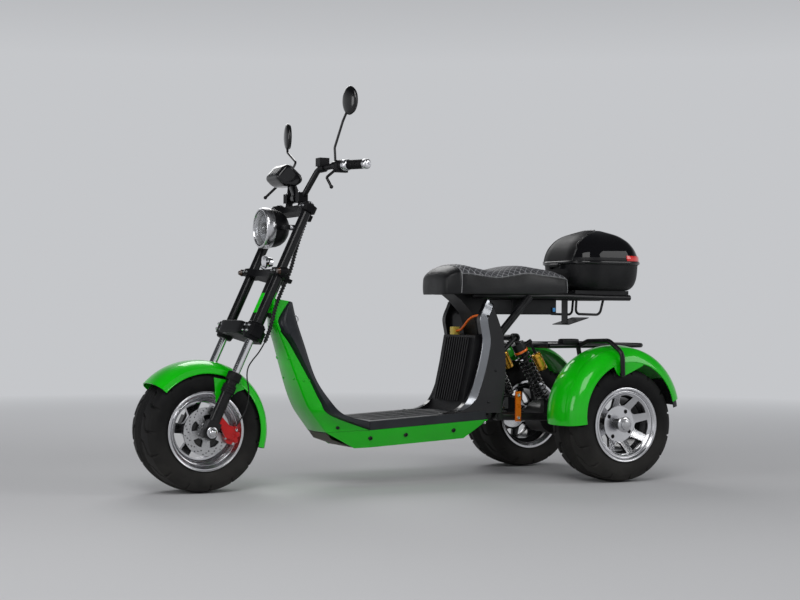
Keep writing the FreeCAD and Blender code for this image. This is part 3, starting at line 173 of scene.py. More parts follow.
# columns: colour, second colour of the mottle, roughness, its spread, metallic, coat, specular level, mottle scale,
# grain scale, grain depth in mm
finishes = {
    "greenPaint": ((0.002, 0.54, 0.001), (0.003, 0.61, 0.002), 0.34, 0.05, 0.0, 0.7, 0.2, 6, 900, 0.01),
    "blackSteel": ((0.004, 0.004, 0.005), (0.009, 0.009, 0.010), 0.36, 0.12, 0.0, 0.12, 0.25, 26, 1400, 0.05),
    "forkBlack": ((0.003, 0.003, 0.004), (0.006, 0.006, 0.007), 0.27, 0.06, 0.0, 0.18, 0.25, 20, 1500, 0.02),
    "crownBlack": ((0.003, 0.003, 0.004), (0.006, 0.006, 0.007), 0.46, 0.08, 0.0, 0.0, 0.10, 20, 1500, 0.03),
    "deckPlastic": ((0.012, 0.014, 0.018), (0.018, 0.021, 0.026), 0.38, 0.08, 0.0, 0.0, 0.30, 16, 1600, 0.07),
    "chrome": ((0.80, 0.80, 0.82), (0.86, 0.86, 0.88), 0.07, 0.03, 1.0, 0.0, 0.5, 30, 600, 0.002),
    "satinChrome": ((0.66, 0.66, 0.68), (0.72, 0.72, 0.74), 0.28, 0.06, 1.0, 0.0, 0.5, 30, 900, 0.02),
    "alloy": ((0.70, 0.70, 0.72), (0.77, 0.77, 0.79), 0.18, 0.06, 1.0, 0.0, 0.5, 10, 900, 0.01),
    "discSteel": ((0.55, 0.55, 0.56), (0.63, 0.63, 0.64), 0.26, 0.08, 1.0, 0.0, 0.5, 14, 900, 0.03),
    "silverBolt": ((0.58, 0.58, 0.60), (0.68, 0.68, 0.70), 0.22, 0.08, 1.0, 0.0, 0.5, 90, 1500, 0.03),
    "blackBolt": ((0.010, 0.010, 0.011), (0.024, 0.024, 0.026), 0.32, 0.10, 0.5, 0.0, 0.5, 90, 1500, 0.03),
    "tyreRubber": ((0.004, 0.004, 0.0045), (0.009, 0.009, 0.009), 0.60, 0.10, 0.0, 0.0, 0.16, 22, 1100, 0.16),
    "blackPlastic": ((0.004, 0.004, 0.005), (0.009, 0.009, 0.010), 0.42, 0.08, 0.0, 0.0, 0.22, 16, 1600, 0.09),
    "glossBlack": ((0.003, 0.003, 0.004), (0.006, 0.006, 0.007), 0.20, 0.06, 0.0, 0.5, 0.25, 14, 1500, 0.01),
    "matRubber": ((0.022, 0.024, 0.027), (0.040, 0.042, 0.045), 0.58, 0.10, 0.0, 0.0, 0.25, 30, 1300, 0.12),
    "gripRubber": ((0.005, 0.005, 0.006), (0.011, 0.011, 0.012), 0.54, 0.08, 0.0, 0.0, 0.20, 60, 1800, 0.10),
    "redAnodised": ((0.50, 0.002, 0.004), (0.60, 0.004, 0.006), 0.30, 0.08, 0.1, 0.3, 0.25, 40, 1200, 0.02),
    "orangeAnodised": ((0.85, 0.14, 0.004), (0.92, 0.19, 0.008), 0.28, 0.08, 0.2, 0.5, 0.4, 40, 1200, 0.02),
    "goldAnodised": ((0.78, 0.40, 0.03), (0.86, 0.47, 0.05), 0.22, 0.06, 0.8, 0.3, 0.5, 40, 1200, 0.02),
    "orangeCable": ((0.88, 0.14, 0.006), (0.94, 0.19, 0.010), 0.40, 0.10, 0.0, 0.0, 0.4, 60, 1500, 0.05),
    "yellowPlug": ((0.78, 0.60, 0.10), (0.84, 0.66, 0.14), 0.40, 0.10, 0.0, 0.0, 0.4, 60, 1500, 0.05),
    "cableBlack": ((0.008, 0.008, 0.009), (0.016, 0.016, 0.017), 0.44, 0.10, 0.0, 0.0, 0.4, 60, 1500, 0.06),
    "bellyPlastic": ((0.085, 0.073, 0.062), (0.125, 0.108, 0.092), 0.62, 0.12, 0.0, 0.0, 0.3, 18, 900, 0.12),
    "signalAmber": ((0.030, 0.010, 0.003), (0.055, 0.018, 0.004), 0.14, 0.06, 0.0, 0.6, 0.4, 60, 700, 0.04),
    "lampRed": ((0.78, 0.006, 0.006), (0.90, 0.015, 0.012), 0.14, 0.06, 0.0, 0.8, 0.5, 60, 500, 0.08),
    "mirrorGlass": ((0.82, 0.84, 0.86), (0.87, 0.89, 0.91), 0.03, 0.02, 1.0, 0.0, 0.5, 12, 600, 0.002),
    "caseMatte": ((0.005, 0.005, 0.006), (0.011, 0.011, 0.012), 0.50, 0.08, 0.0, 0.0, 0.25, 20, 1000, 0.22),
    "socketBlue": ((0.02, 0.22, 0.55), (0.04, 0.28, 0.62), 0.35, 0.06, 0.0, 0.3, 0.4, 60, 900, 0.02),
    "lampBowl": ((0.16, 0.16, 0.17), (0.22, 0.22, 0.23), 0.22, 0.06, 1.0, 0.0, 0.5, 14, 900, 0.02),
    "screenGlass": ((0.006, 0.007, 0.010), (0.012, 0.014, 0.018), 0.07, 0.04, 0.0, 1.0, 0.5, 20, 600, 0.004),
    "seatVinyl": ((0.006, 0.006, 0.007), (0.012, 0.012, 0.013), 0.36, 0.08, 0.0, 0.0, 0.35, 14, 900, 0.5),
    "piping": ((0.20, 0.20, 0.21), (0.27, 0.27, 0.28), 0.45, 0.08, 0.0, 0.0, 0.4, 50, 1400, 0.05),
}
dust = {"colour": (0.16, 0.15, 0.135), "top": 0.30, "foot": 0.02, "share": 0.30, "scale": 9.0, "rough": 0.5}
bumpStrength = 0.6
coatRough = 0.04
waveTurn = 0.314  # a wave texture's scale times its period in metres
made = {}


def finish(name, kind=None, build=None, dusty=True):
    # colour and roughness follow one noise over Object coordinates, the grain another; road dust thins out
    # with height; build(tree, parts) may add to them before they reach the shader
    if name in made:
        return made[name]
    first, second, rough, spread, metallic, coat, specular, mottle, grain, depth = finishes[kind or name]
    material, tree, shader = newMaterial(name)
    made[name] = material
    constants = {"Metallic": metallic, "Coat Weight": coat, "Specular IOR Level": specular, "Coat Roughness": coatRough}
    for socket, value in constants.items():
        shader.inputs[socket].default_value = value
    place = newNode(tree, "TexCoord").outputs["Object"]
    cloud = textured(tree, "Noise", place, Scale=mottle, Detail=4.0)[0]
    speck = textured(tree, "Noise", place, Scale=grain, Detail=2.0)[0]
    parts = {"place": place, "cloud": cloud, "speck": speck, "height": speck, "depth": depth, "shader": shader,
             "colour": mixed(tree, ranged(tree, cloud, 0.35, 0.65), first, second),
             "rough": ranged(tree, cloud, 0.3, 0.7, rough - spread / 2, rough + spread / 2)}
    if build:
        build(tree, parts)
    if dusty:
        patch = textured(tree, "Noise", place, Scale=dust["scale"], Detail=5.0)[0]
        low = ranged(tree, separated(tree, place)[2], dust["foot"], dust["top"], dust["share"], 0.0)
        amount = calculated(tree, "MULTIPLY", low, patch)
        parts["colour"] = mixed(tree, amount, parts["colour"], dust["colour"])
        parts["rough"] = calculated(tree, "ADD", parts["rough"], calculated(tree, "MULTIPLY", amount, dust["rough"]))
    bump = newNode(tree, "Bump", Strength=bumpStrength, Distance=parts["depth"] / 1000)
    linked(tree, (parts["colour"], shader.inputs["Base Color"]), (parts["rough"], shader.inputs["Roughness"]),
           (parts["height"], bump.inputs["Height"]), (bump.outputs[0], shader.inputs["Normal"]))
    return material


def turnedRings(centre, period):
    # fine machining lines round an axle: rings about Y, one each period
    def build(tree, parts):
        shift = newNode(tree, "Mapping", Location=[-value for value in centre])
        tree.links.new(parts["place"], shift.inputs["Vector"])
        rings = textured(tree, "Wave", shift.outputs[0], wave_type="RINGS", rings_direction="Y",
                         Scale=waveTurn / period, Distortion=0.4)["Fac"]
        parts["rough"] = calculated(tree, "ADD", parts["rough"], ranged(tree, rings, 0, 1, -0.04, 0.06))
        parts["height"] = rings
        parts["depth"] = 0.08
        parts["shift"] = shift.outputs[0]
    return build


def machinedFace(centre, period):
    # bright faces square to the axle and at the lip, black paint between the spokes and inside
    rings = turnedRings(centre, period)

    def build(tree, parts):
        rings(tree, parts)
        facing = separated(tree, newNode(tree, "TexCoord").outputs["Normal"])[1]
        offset = calculated(tree, "ABSOLUTE", separated(tree, parts["shift"])[1])
        flat = ranged(tree, calculated(tree, "ABSOLUTE", facing), 0.66, 0.72)
        face = calculated(tree, "MULTIPLY", flat, ranged(tree, offset, 0.030, 0.036))
        bright = calculated(tree, "MAXIMUM", face, ranged(tree, offset, 0.080, 0.082))
        parts["colour"] = mixed(tree, bright, (0.012, 0.012, 0.013), parts["colour"])
        tree.links.new(bright, parts["shader"].inputs["Metallic"])
    return build


# Shapes

def gridFaces(rows, columns, closeRows=False, closeColumns=False):
    # quads between neighbouring points of a grid; the last row or column may join the first
    across, along = np.meshgrid(np.arange(rows if closeRows else rows - 1),
                                np.arange(columns if closeColumns else columns - 1), indexing="ij")
    nextAcross, nextAlong = (across + 1) % rows, (along + 1) % columns
    return np.stack([across * columns + along, across * columns + nextAlong,
                     nextAcross * columns + nextAlong, nextAcross * columns + along], -1).reshape(-1, 4)


def fullTurn(count):
    return np.linspace(0, 2 * np.pi, count, endpoint=False)


def unit(vectors):
    return vectors / np.linalg.norm(vectors, axis=-1, keepdims=True)


def circled(turn, side, other):
    # cos a * side + sin a * other
    return np.cos(turn)[..., None] * side + np.sin(turn)[..., None] * other


def squareFrame(axis):
    # the axis made a unit, and two unit directions square to it and to each other
    axis = unit(np.array(axis, float))
    side = unit(np.cross(axis, (0.0, 0.0, 1.0) if abs(axis[2]) < 0.9 else (1.0, 0.0, 0.0)))
    return axis, side, np.cross(axis, side)


def carriedFrame(path, lean):
    # at each point two unit directions square to the path, the first of them square to the lean as well
    tangent = unit(np.gradient(path, axis=0))
    side = unit(np.cross(tangent, np.broadcast_to(lean, tangent.shape)))
    return side, np.cross(side, tangent)


def lathed(profile, place, axis, count=48, closed=False):
    # point = place + along * axis + radius * (cos a * side + sin a * other), profile in mm as (along, radius)
    profile = np.array(profile, float) / 1000
    axis, side, other = squareFrame(axis)
    ring = circled(fullTurn(count), side, other)
    points = np.array(place) + profile[:, 0, None, None] * axis + profile[:, 1, None, None] * ring[None]
    return points.reshape(-1, 3), gridFaces(len(profile), count, closed, True)


def beadRing(place, axis, radius, thick, count=96):
    # a torus as a lathe: along = thick * cos b, radius + thick * sin b, in mm
    turn = fullTurn(8)
    return lathed(np.c_[thick * np.cos(turn), radius + thick * np.sin(turn)], place, axis, count, True)


def tubed(path, radius, count=10, lean=(0.0, 0.0, 1.0)):
    # a circle carried along a path: path + radius * (cos a * side + sin a * up), closed at both ends; metres
    path = np.array(path, float)
    side, up = carriedFrame(path, lean)
    path, side, up = (np.concatenate([part[:1], part, part[-1:]]) for part in (path, side, up))
    reach = np.full(len(path), radius)
    reach[[0, -1]] = 0.0
    ring = circled(fullTurn(count)[None], side[:, None], up[:, None])
    return (path[:, None] + reach[:, None, None] * ring).reshape(-1, 3), gridFaces(len(path), count, False, True)


def roundedBlock(centre, half, axes=((1, 0, 0), (0, 1, 0), (0, 0, 1)), power=0.22, rows=20, columns=40):
    # superellipsoid: half sizes times signed powers of cosines and sines, a box with rounded edges; half in mm
    rise = np.linspace(-np.pi / 2, np.pi / 2, rows)
    turn = fullTurn(columns)
    shaped = [np.sign(wave) * np.abs(wave) ** power for wave in
              (np.cos(rise), np.sin(rise), np.cos(turn), np.sin(turn))]
    local = np.stack([np.outer(shaped[0], shaped[2]), np.outer(shaped[0], shaped[3]),
                      np.outer(shaped[1], np.ones(columns))], -1) * np.array(half) / 1000
    points = np.array(centre) + local @ np.array(axes, float)
    return points.reshape(-1, 3), gridFaces(rows, columns, False, True)


def repeated(shape, places):
    # the same small shape at several places
    points, faces = shape
    places = np.array(places, float).reshape(-1, 3)
    count = len(points)
    return ((points[None] + places[:, None]).reshape(-1, 3),
            (faces[None] + np.arange(len(places))[:, None, None] * count).reshape(-1, 4))


def boltHeads(places, axis, radius, height):
    # domed heads with a sunk socket, mm
    profile = [(-2.0, 0), (-2.0, radius), (height * 0.45, radius), (height * 0.85, radius * 0.86),
               (height, radius * 0.58), (height * 0.4, radius * 0.5), (height * 0.4, 0)]
    return repeated(lathed(profile, (0, 0, 0), axis, 12), places)


def smoothRows(table, count):
    # a cubic through the rows of a table, evenly spaced in row number
    table = np.array(table, float)
    last = len(table) - 1
    at = np.linspace(0, last, count)
    base = np.minimum(at.astype(int), last - 1)
    share = (at - base)[:, None]
    before, start, end, after = (table[np.clip(base + step, 0, last)] for step in (-1, 0, 1, 2))
    slopeStart, slopeEnd = (end - before) / 2, (after - start) / 2
    return ((2 * share ** 3 - 3 * share ** 2 + 1) * start + (share ** 3 - 2 * share ** 2 + share) * slopeStart
            + (3 * share ** 2 - 2 * share ** 3) * end + (share ** 3 - share ** 2) * slopeEnd)


def vertexVectors(mesh, kind="co"):
    values = np.zeros(len(mesh.vertices) * 3, np.float32)
    mesh.vertices.foreach_get(kind, values)
    return values.reshape(-1, 3).astype(float)


def cleaned(mesh, merge=0.0, flatten=0.0, fill=False, outFrom=None):
    # doubles merged, flat neighbours joined, openings filled if asked, and faces turned outwards, from a middle
    # point where the shape is open
    work = bmesh.new()
    work.from_mesh(mesh)
    if merge:
        bmesh.ops.remove_doubles(work, verts=work.verts, dist=merge)
    if flatten:
        bmesh.ops.dissolve_limit(work, angle_limit=math.radians(flatten), verts=work.verts, edges=work.edges)
    if fill:
        bmesh.ops.holes_fill(work, edges=[edge for edge in work.edges if edge.is_boundary])
    bmesh.ops.recalc_face_normals(work, faces=work.faces)
    if outFrom is not None:
        middle = Vector(outFrom)
        outward = sum((face.calc_center_median() - middle).dot(face.normal) * face.calc_area() for face in work.faces)
        if outward < 0:
            bmesh.ops.reverse_faces(work, faces=work.faces)
    work.to_mesh(mesh)
    work.free()
    mesh.shade_smooth()


def addPiece(name, shapes, body, material, outFrom=None, wall=0.0, replaces=(), sharp=38.0, fill=False):
    # the shapes' grids in one mesh, cleaned, with edges sharper than an angle kept and a wall inwards if asked
    points = np.concatenate([shape[0] for shape in shapes])
    starts = np.cumsum([0] + [len(shape[0]) for shape in shapes[:-1]])
    faces = np.concatenate([shape[1] + start for shape, start in zip(shapes, starts)])
    mesh = bpy.data.meshes.new(name)
    mesh.from_pydata(points.tolist(), [], faces.tolist())
    cleaned(mesh, merge=0.00002, fill=fill, outFrom=outFrom)
    mesh.set_sharp_from_angle(angle=math.radians(sharp))
    piece = newPiece(name, mesh)
    mesh.materials.append(material)
    if wall:
        thick = piece.modifiers.new("wall", "SOLIDIFY")
        thick.thickness, thick.offset = wall / 1000, -1.0
    return settle(piece, body, replaces)


def settle(piece, body, replaces=()):
    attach(piece, body)
    if replaces:
        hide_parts(*replaces)
    return piece


edgeShape = {"merge": 0.00004, "flat": 0.6, "segments": 2, "angle": 28.0}


def softened(node, width, material, body):
    # the node's own shape with rounded edges: triangles merged, flat neighbours joined, then a bevel
    source = nodes[node].data
    mesh = bpy.data.meshes.new(node + "Shape")
    mesh.from_pydata(vertexVectors(source).tolist(), [], [face.vertices[:] for face in source.polygons])
    cleaned(mesh, merge=edgeShape["merge"], flatten=edgeShape["flat"])
    piece = newPiece(node + "Rounded", mesh)
    mesh.materials.append(material)
    bevel = piece.modifiers.new("edges", "BEVEL")
    bevel.width, bevel.segments = width / 1000, edgeShape["segments"]
    bevel.limit_method, bevel.angle_limit = "ANGLE", math.radians(edgeShape["angle"])
    bevel.harden_normals = True
    return settle(piece, body, (node,))


# Places in metres from the source's own coordinates in mm

rake = math.radians(25.0)
floorTilt = math.radians(3.0)
frontAxle = np.array([0.832, 0.0, 0.220])
rearAxle = -728.0
rearHubs = {name: np.array([rearAxle / 1000, offset, 0.220]) for name, offset in (("left", 0.340), ("right", -0.340))}
floorMiddle = (52.0, 252.0)
barHeight = 892.0
forkForward = np.array([math.cos(rake), 0.0, math.sin(rake)])
forkUp = np.array([-math.sin(rake), 0.0, math.cos(rake)])
forwardX = np.array([1.0, 0.0, 0.0])
axleY = np.array([0.0, 1.0, 0.0])


def forkPlace(forward, left, along):
    # from the front axle: ahead of the fork's line, to the left, and up along it
    return frontAxle + (forward * forkForward + along * forkUp + left * axleY) / 1000


def barPlace(back, left, up):
    # from the point of the fork's line at the bar's height: back, left and up, not raked
    return forkPlace(0, 0, barHeight) + np.array([-back, left, up]) / 1000


def byRear(forward, left, height):
    # ahead of the rear axle, to the left, and above the ground
    return np.array([rearAxle + forward, left, height]) / 1000


def floorPlace(forward, left, up):
    # along, across and square to the tilted floor, from the middle of its top; also for arrays
    x = floorMiddle[0] + forward * math.cos(floorTilt) + up * math.sin(floorTilt)
    z = floorMiddle[1] + up * math.cos(floorTilt) - forward * math.sin(floorTilt)
    return np.stack(np.broadcast_arrays(x, left, z), -1) / 1000


# Cords: the harness down the left leg, the brake hose and the battery lead

harness = {"points": [(-30, 84, 862), (-34, 80, 790), (-42, 84, 720), (-54, 84, 650), (-53, 82, 580), (-56, 84, 505),
                      (-70, 87, 438), (-71, 88, 378)], "radius": 6.0, "wrapPitch": 11.0, "wrapRadius": 1.9,
           "wrapGap": 0.0006, "step": 0.0007, "bareEnd": 12}
brakeHose = {"points": [(-71, 88, 377), (-66, 92, 338), (-52, 98, 302), (-42, 108, 266), (-50, 120, 230),
                        (-72, 126, 198), (-88, 126, 160), (-96, 122, 122), (-92, 116, 84), (-86, 114, 46)],
             "radius": 2.5}
batteryLead = {"points": [(462, -54, 572), (462, -22, 572), (468, 14, 590), (468, 50, 616), (462, 88, 632),
                          (462, 124, 632)], "radius": 4.5}
cordShape = {"order": 3, "resolution": 16, "bevel": 4}


def cordCurve(name, points, radius):
    # a NURBS line through the route's control points, reaching both ends, with a round section
    curve = bpy.data.curves.new(name, "CURVE")
    curve.dimensions = "3D"
    spline = curve.splines.new("NURBS")
    spline.points.add(len(points) - 1)
    spline.points.foreach_set("co", np.c_[points, np.ones(len(points))].ravel())
    spline.order_u = cordShape["order"]
    spline.use_endpoint_u = True
    curve.resolution_u = cordShape["resolution"]
    curve.bevel_depth = radius
    curve.bevel_resolution = cordShape["bevel"]
    curve.use_fill_caps = True
    return newPiece(name, curve)


def cordLine(piece, step):
    # evenly spaced points along a cord's own line, read with the bevel left off, and its length
    bare = piece.data.copy()
    bare.bevel_depth = 0.0
    holder = newPiece("line", bare)
    bpy.context.view_layer.update()
    line = vertexVectors(bpy.data.meshes.new_from_object(holder))
    bpy.data.objects.remove(holder)
    run = np.concatenate([[0.0], np.cumsum(np.linalg.norm(np.diff(line, axis=0), axis=1))])
    at = np.linspace(0, run[-1], max(2, int(run[-1] / step)))
    return np.stack([np.interp(at, run, line[:, axis]) for axis in range(3)], -1), run[-1]


def heldCord(name, points, radius, body, kind):
    # a cord held at both ends; it stands for the node of its name
    piece = cordCurve(name, points, radius)
    piece.data.materials.append(finish(kind))
    settle(piece, body, (name.replace("Cord", ""),))
    length = round(cordLine(piece, 0.001)[1], 3)
    print("tricycle:", name, length, "m")


def wrapShape(line, radius, values):
    # a helix round the line: point = line + radius * (cos s * side + sin s * up), one turn each pitch
    run = np.linspace(0, np.linalg.norm(np.diff(line, axis=0), axis=1).sum(), len(line))
    turn = 2 * np.pi * run / (values["wrapPitch"] / 1000)
    return line + (radius + values["wrapGap"]) * circled(turn, *carriedFrame(line, axleY))


harnessPoints = [forkPlace(*place) for place in harness["points"]]
harnessTrial = cordCurve("harnessTrial", harnessPoints, harness["radius"] / 1000)
harnessLine = cordLine(harnessTrial, harness["step"])[0][harness["bareEnd"]:-harness["bareEnd"]]
bpy.data.objects.remove(harnessTrial)
wrapPath = wrapShape(harnessLine, harness["radius"] / 1000, harness)
wrap = addPiece("harnessWrap", [tubed(wrapPath, harness["wrapRadius"] / 1000, 6, axleY)], "steering",
                finish("cableBlack"))
heldCord("wiring_harnessCord", harnessPoints, harness["radius"] / 1000, "steering", "cableBlack")
heldCord("brake_hoseCord", [forkPlace(*place) for place in brakeHose["points"]], brakeHose["radius"] / 1000,
         "steering", "cableBlack")
heldCord("battery_cableCord", [byRear(*place) for place in batteryLead["points"]], batteryLead["radius"] / 1000,
         "chassis", "orangeCable")
print("tricycle: cords made")


# Plain finishes for the nodes that keep their own shape

nodeFinishes = {
    "front_axle": "silverBolt", "fork_sliders": "forkBlack", "fork_stanchions": "chrome", "fork_tubes": "forkBlack",
    "front_fender": "greenPaint", "rear_fenders": "greenPaint", "horn": "chrome",
    "indicators": "blackPlastic", "indicator_lenses": "signalAmber", "handlebar": "blackSteel",
    "mirrors": "glossBlack", "rear_axle_housing": "blackSteel", "swing_arm": "blackSteel",
    "shock_bodies": "blackSteel", "link_bars": "orangeAnodised", "luggage_rack": "blackSteel",
}
softEdges = [
    # node, edge radius in mm, finish, slot, body
    ("fork_crown", 2.0, "crownBlack", "fork_black", "steering"),
    ("fork_clamps", 1.6, "crownBlack", "fork_black", "steering"),
    ("bar_controls", 1.4, "blackPlastic", "black_plastic", "steering"),
    ("front_caliper", 1.8, "redAnodised", "red_anodised", "steering"),
    ("sill_panels", 0.8, "greenPaint", "green_paint", "chassis"),
    ("belly_pan", 1.0, "bellyPlastic", "black_plastic", "chassis"),
    ("footboard", 2.0, "deckPlastic", "black_plastic", "chassis"),
    ("seat_base", 2.5, "blackPlastic", "black_plastic", "chassis"),
    ("under_seat_box", 4.0, "blackPlastic", "black_plastic", "chassis"),
    ("case_carrier", 1.2, "blackSteel", "black_steel", "chassis"),
]
headPaint = {"ahead": 0.47, "low": 0.640, "high": 0.712}
grilleRibs = {"pitch": 0.0060, "depth": 1.6}


def greenHead(tree, parts):
    # the upper part of the steering head is painted green, the rest of the frame black
    axes = separated(tree, parts["place"])
    ahead = calculated(tree, "GREATER_THAN", axes[0], headPaint["ahead"])
    for edge, sign in (("low", "GREATER_THAN"), ("high", "LESS_THAN")):
        ahead = calculated(tree, "MULTIPLY", ahead, calculated(tree, sign, axes[2], headPaint[edge]))
    parts["colour"] = mixed(tree, ahead, parts["colour"], finishes["greenPaint"][1])


def fineRibs(tree, parts):
    # upright ribs across the battery's front
    parts["height"] = textured(tree, "Wave", parts["place"], wave_type="BANDS", bands_direction="Y",
                               Scale=waveTurn / grilleRibs["pitch"])["Fac"]
    parts["depth"] = grilleRibs["depth"]


def dressNode(name, material):
    nodes[name].data.materials.clear()
    nodes[name].data.materials.append(material)


for node, kind in nodeFinishes.items():
    dressNode(node, finish(kind))
dressNode("main_frame", finish("framePaint", "blackSteel", greenHead))
dressNode("front_rim", finish("frontAlloy", "alloy", turnedRings(frontAxle, 0.0016), False))
dressNode("front_disc", finish("frontDisc", "discSteel", turnedRings(frontAxle, 0.0010), False))
for side, hub in rearHubs.items():
    dressNode("rear_" + side + "_rim", finish(side + "Alloy", "alloy", machinedFace(hub, 0.0014), False))
for node, width, kind, slot, body in softEdges:
    softened(node, width, finish(kind), body)
softened("battery_case", 1.2, finish("ribbedPlastic", "blackPlastic", fineRibs), "chassis")
softened("tail_lamp", 2.0, finish("lampRed"), "chassis")
print("tricycle: frame nodes finished")


# Tyres

tyreShape = {"radius": 220.0, "halfWidth": 102.0, "shoulder": 211.0, "edge": 87.7, "bead": (141.0, 89.7),
             "widest": 180.5, "around": 660, "hooks": 15, "hookWidth": 4.0, "hookDepth": 7.0,
             "ribs": [4.5, 13.5, 22.5, 31.5], "ribHalf": 2.4, "ribDepth": 5.0, "beads": [(152, 1.6), (190, 1.4)],
             "beadHeight": 1.1, "beadsFrom": 60, "edgeSlope": 1.4, "fade": (186, 16),
             "ribStops": (-2.9, -1.9, 1.9, 2.9), "hookStops": (36.0, 86.0, 2.6)}
# columns: radius and offset down the inside, from one bead to the other
tyreInside = [(127.5, -89.0), (127.5, -76.0), (160.0, -86.0), (196.0, -60.0), (198.0, 60.0), (160.0, 86.0),
              (127.5, 76.0), (127.5, 89.0)]
# offset across the tread and place along it
hookPath = [(100.0, 2.0), (74.0, 7.0), (62.0, 18.0), (57.0, 44.0), (50.0, 58.0), (38.0, 64.0)]


def arcThrough(first, middle, last, count):
    # points on the circle through three points, from the first to the last
    (ax, ay), (bx, by), (cx, cy) = first, middle, last
    twice = 2 * (ax * (by - cy) + bx * (cy - ay) + cx * (ay - by))
    squares = [x * x + y * y for x, y in (first, middle, last)]
    centreX = (squares[0] * (by - cy) + squares[1] * (cy - ay) + squares[2] * (ay - by)) / twice
    centreY = (squares[0] * (cx - bx) + squares[1] * (ax - cx) + squares[2] * (bx - ax)) / twice
    angles = np.unwrap([math.atan2(y - centreY, x - centreX) for x, y in (first, middle, last)])
    sweep = np.linspace(angles[0], angles[2], count)
    reach = math.hypot(ax - centreX, ay - centreY)
    return np.c_[centreX + reach * np.cos(sweep), centreY + reach * np.sin(sweep)]


def treadedTyre(values):
    # radius and offset of the outline, less a groove depth that depends on the place along and across the
    # tread: the distance to a hooked line repeated round each shoulder, and to a few plain rings
    half = arcThrough(values["bead"], (values["widest"], values["halfWidth"]), (values["shoulder"], values["edge"]), 16)
    ribEdges = [np.array(values["ribs"]) + step for step in values["ribStops"]]
    stops = np.concatenate([[0.0], *ribEdges, np.arange(*values["hookStops"])])
    stops = np.sort(np.concatenate([-stops[1:], stops, [-values["edge"], values["edge"]]]))[::-1]
    rise = values["radius"] - values["shoulder"]
    bow = (values["edge"] ** 2 + rise ** 2) / (2 * rise)
    crown = np.c_[values["radius"] - bow + np.sqrt(bow ** 2 - stops ** 2), stops]
    outer = np.concatenate([half[:-1], crown, (half * (1, -1))[::-1][1:]])
    kernel = np.ones(3) / 3
    outer[2:-2] = np.stack([np.convolve(outer[:, axis], kernel, "same") for axis in (0, 1)], -1)[2:-2]
    inside = np.array(tyreInside)
    turn = fullTurn(values["around"])
    along = turn * values["radius"]
    pitch = 2 * np.pi * values["radius"] / values["hooks"]
    radius, offset = outer[:, 0], outer[:, 1]
    depth = np.zeros((len(turn), len(outer)))
    for side, start in ((1, 0.0), (-1, pitch / 2)):
        for first, last in zip(hookPath, hookPath[1:]):
            for lap in (-1, 0, 1):
                runAlong = np.mod(along + start, pitch)[:, None] + lap * pitch
                gapAcross, gapAlong = offset[None] * side - first[0], runAlong - first[1]
                runAcross, runOn = last[0] - first[0], last[1] - first[1]
                share = np.clip((gapAcross * runAcross + gapAlong * runOn) / (runAcross ** 2 + runOn ** 2), 0, 1)
                away = np.hypot(gapAcross - share * runAcross, gapAlong - share * runOn)
                cut = np.clip((values["hookWidth"] - away) / values["edgeSlope"] + 0.5, 0, 1)
                depth = np.maximum(depth, cut * values["hookDepth"])
    depth *= np.clip((radius - values["fade"][0]) / values["fade"][1], 0, 1)[None]
    for place in values["ribs"]:
        ring = np.abs(np.abs(offset) - place) < values["ribHalf"]
        depth = np.maximum(depth, (ring * values["ribDepth"])[None])
    raised = sum(np.exp(-((radius - place) / width) ** 2) for place, width in values["beads"])
    raised = values["beadHeight"] * raised * (np.abs(offset) > values["beadsFrom"])
    radii = np.concatenate([radius[None] - depth, np.broadcast_to(inside[:, 0], (len(turn), len(inside)))], 1)
    offsets = np.concatenate([offset + np.sign(offset) * raised, inside[:, 1]])
    points = np.stack([radii * np.cos(turn)[:, None], np.broadcast_to(offsets, radii.shape),
                       radii * np.sin(turn)[:, None]], -1) / 1000
    return points.reshape(-1, 3), gridFaces(len(turn), len(offsets), True, True)


tyreSurface = treadedTyre(tyreShape)
wheels = [("front_tyre", frontAxle, "front_wheel"), ("rear_left_tyre", rearHubs["left"], "rear_left_wheel"),
          ("rear_right_tyre", rearHubs["right"], "rear_right_wheel")]
for node, hub, body in wheels:
    addPiece(node + "Tread", [(tyreSurface[0] + hub, tyreSurface[1])], body, finish("tyreRubber"),
             replaces=(node,), sharp=50.0)
print("tricycle: tyres made")


# Wheel trim: polished lips, barrel steps, nuts, caps and lug bolts

wheelTrim = {"frontRings": [(97.0, 138.5, 2.0), (83.0, 121.0, 1.5), (74.0, 118.6, 1.2), (66.0, 118.6, 1.2),
                            (58.5, 118.0, 1.4), (52.0, 112.5, 1.3), (46.0, 107.6, 1.3)],
             "rearRings": [(97.0, 138.5, 2.0), (91.0, 125.5, 1.4)], "discBolts": (30.0, 106.3, 59.0),
             "lugs": (55.0, 44.0, 32.5), "nutOut": 0.157, "capOut": 0.0855, "faceOut": 0.0995}
# columns: along the axle and radius in mm
nutProfile = [(-2, 0), (-2, 20), (1.5, 20), (3, 18), (3, 13.5), (10, 13.5), (12, 12.6), (15, 9.5), (17.5, 5.5),
              (18.5, 0)]
discBack = [(94.8, 35), (94.8, 85), (95.8, 85), (95.8, 35)]
hubCap = [(0, 0), (0, 30), (3, 30), (6.5, 27), (8.0, 22), (13, 20.5), (15, 19.5), (15.4, 18), (14.2, 17.4), (14.2, 0)]
capFace = [(-1, 0), (-1, 16), (1.2, 16), (2.0, 14.5), (2.6, 0)]


def ringSet(hub, rows, side):
    # beads about the axle; rows of offset from the wheel's middle, radius and thickness
    return [beadRing(hub + axleY * side * offset / 1000, axleY, radius, thick) for offset, radius, thick in rows]


def boltCircle(hub, values, count, side=1):
    # places round an axle; values are the circle's radius, its offset and its first angle
    reach, offset, first = values
    turn = np.radians(first + np.arange(count) * 360 / count)
    return hub + np.stack([reach * np.cos(turn), np.full(count, side * offset), reach * np.sin(turn)], -1) / 1000


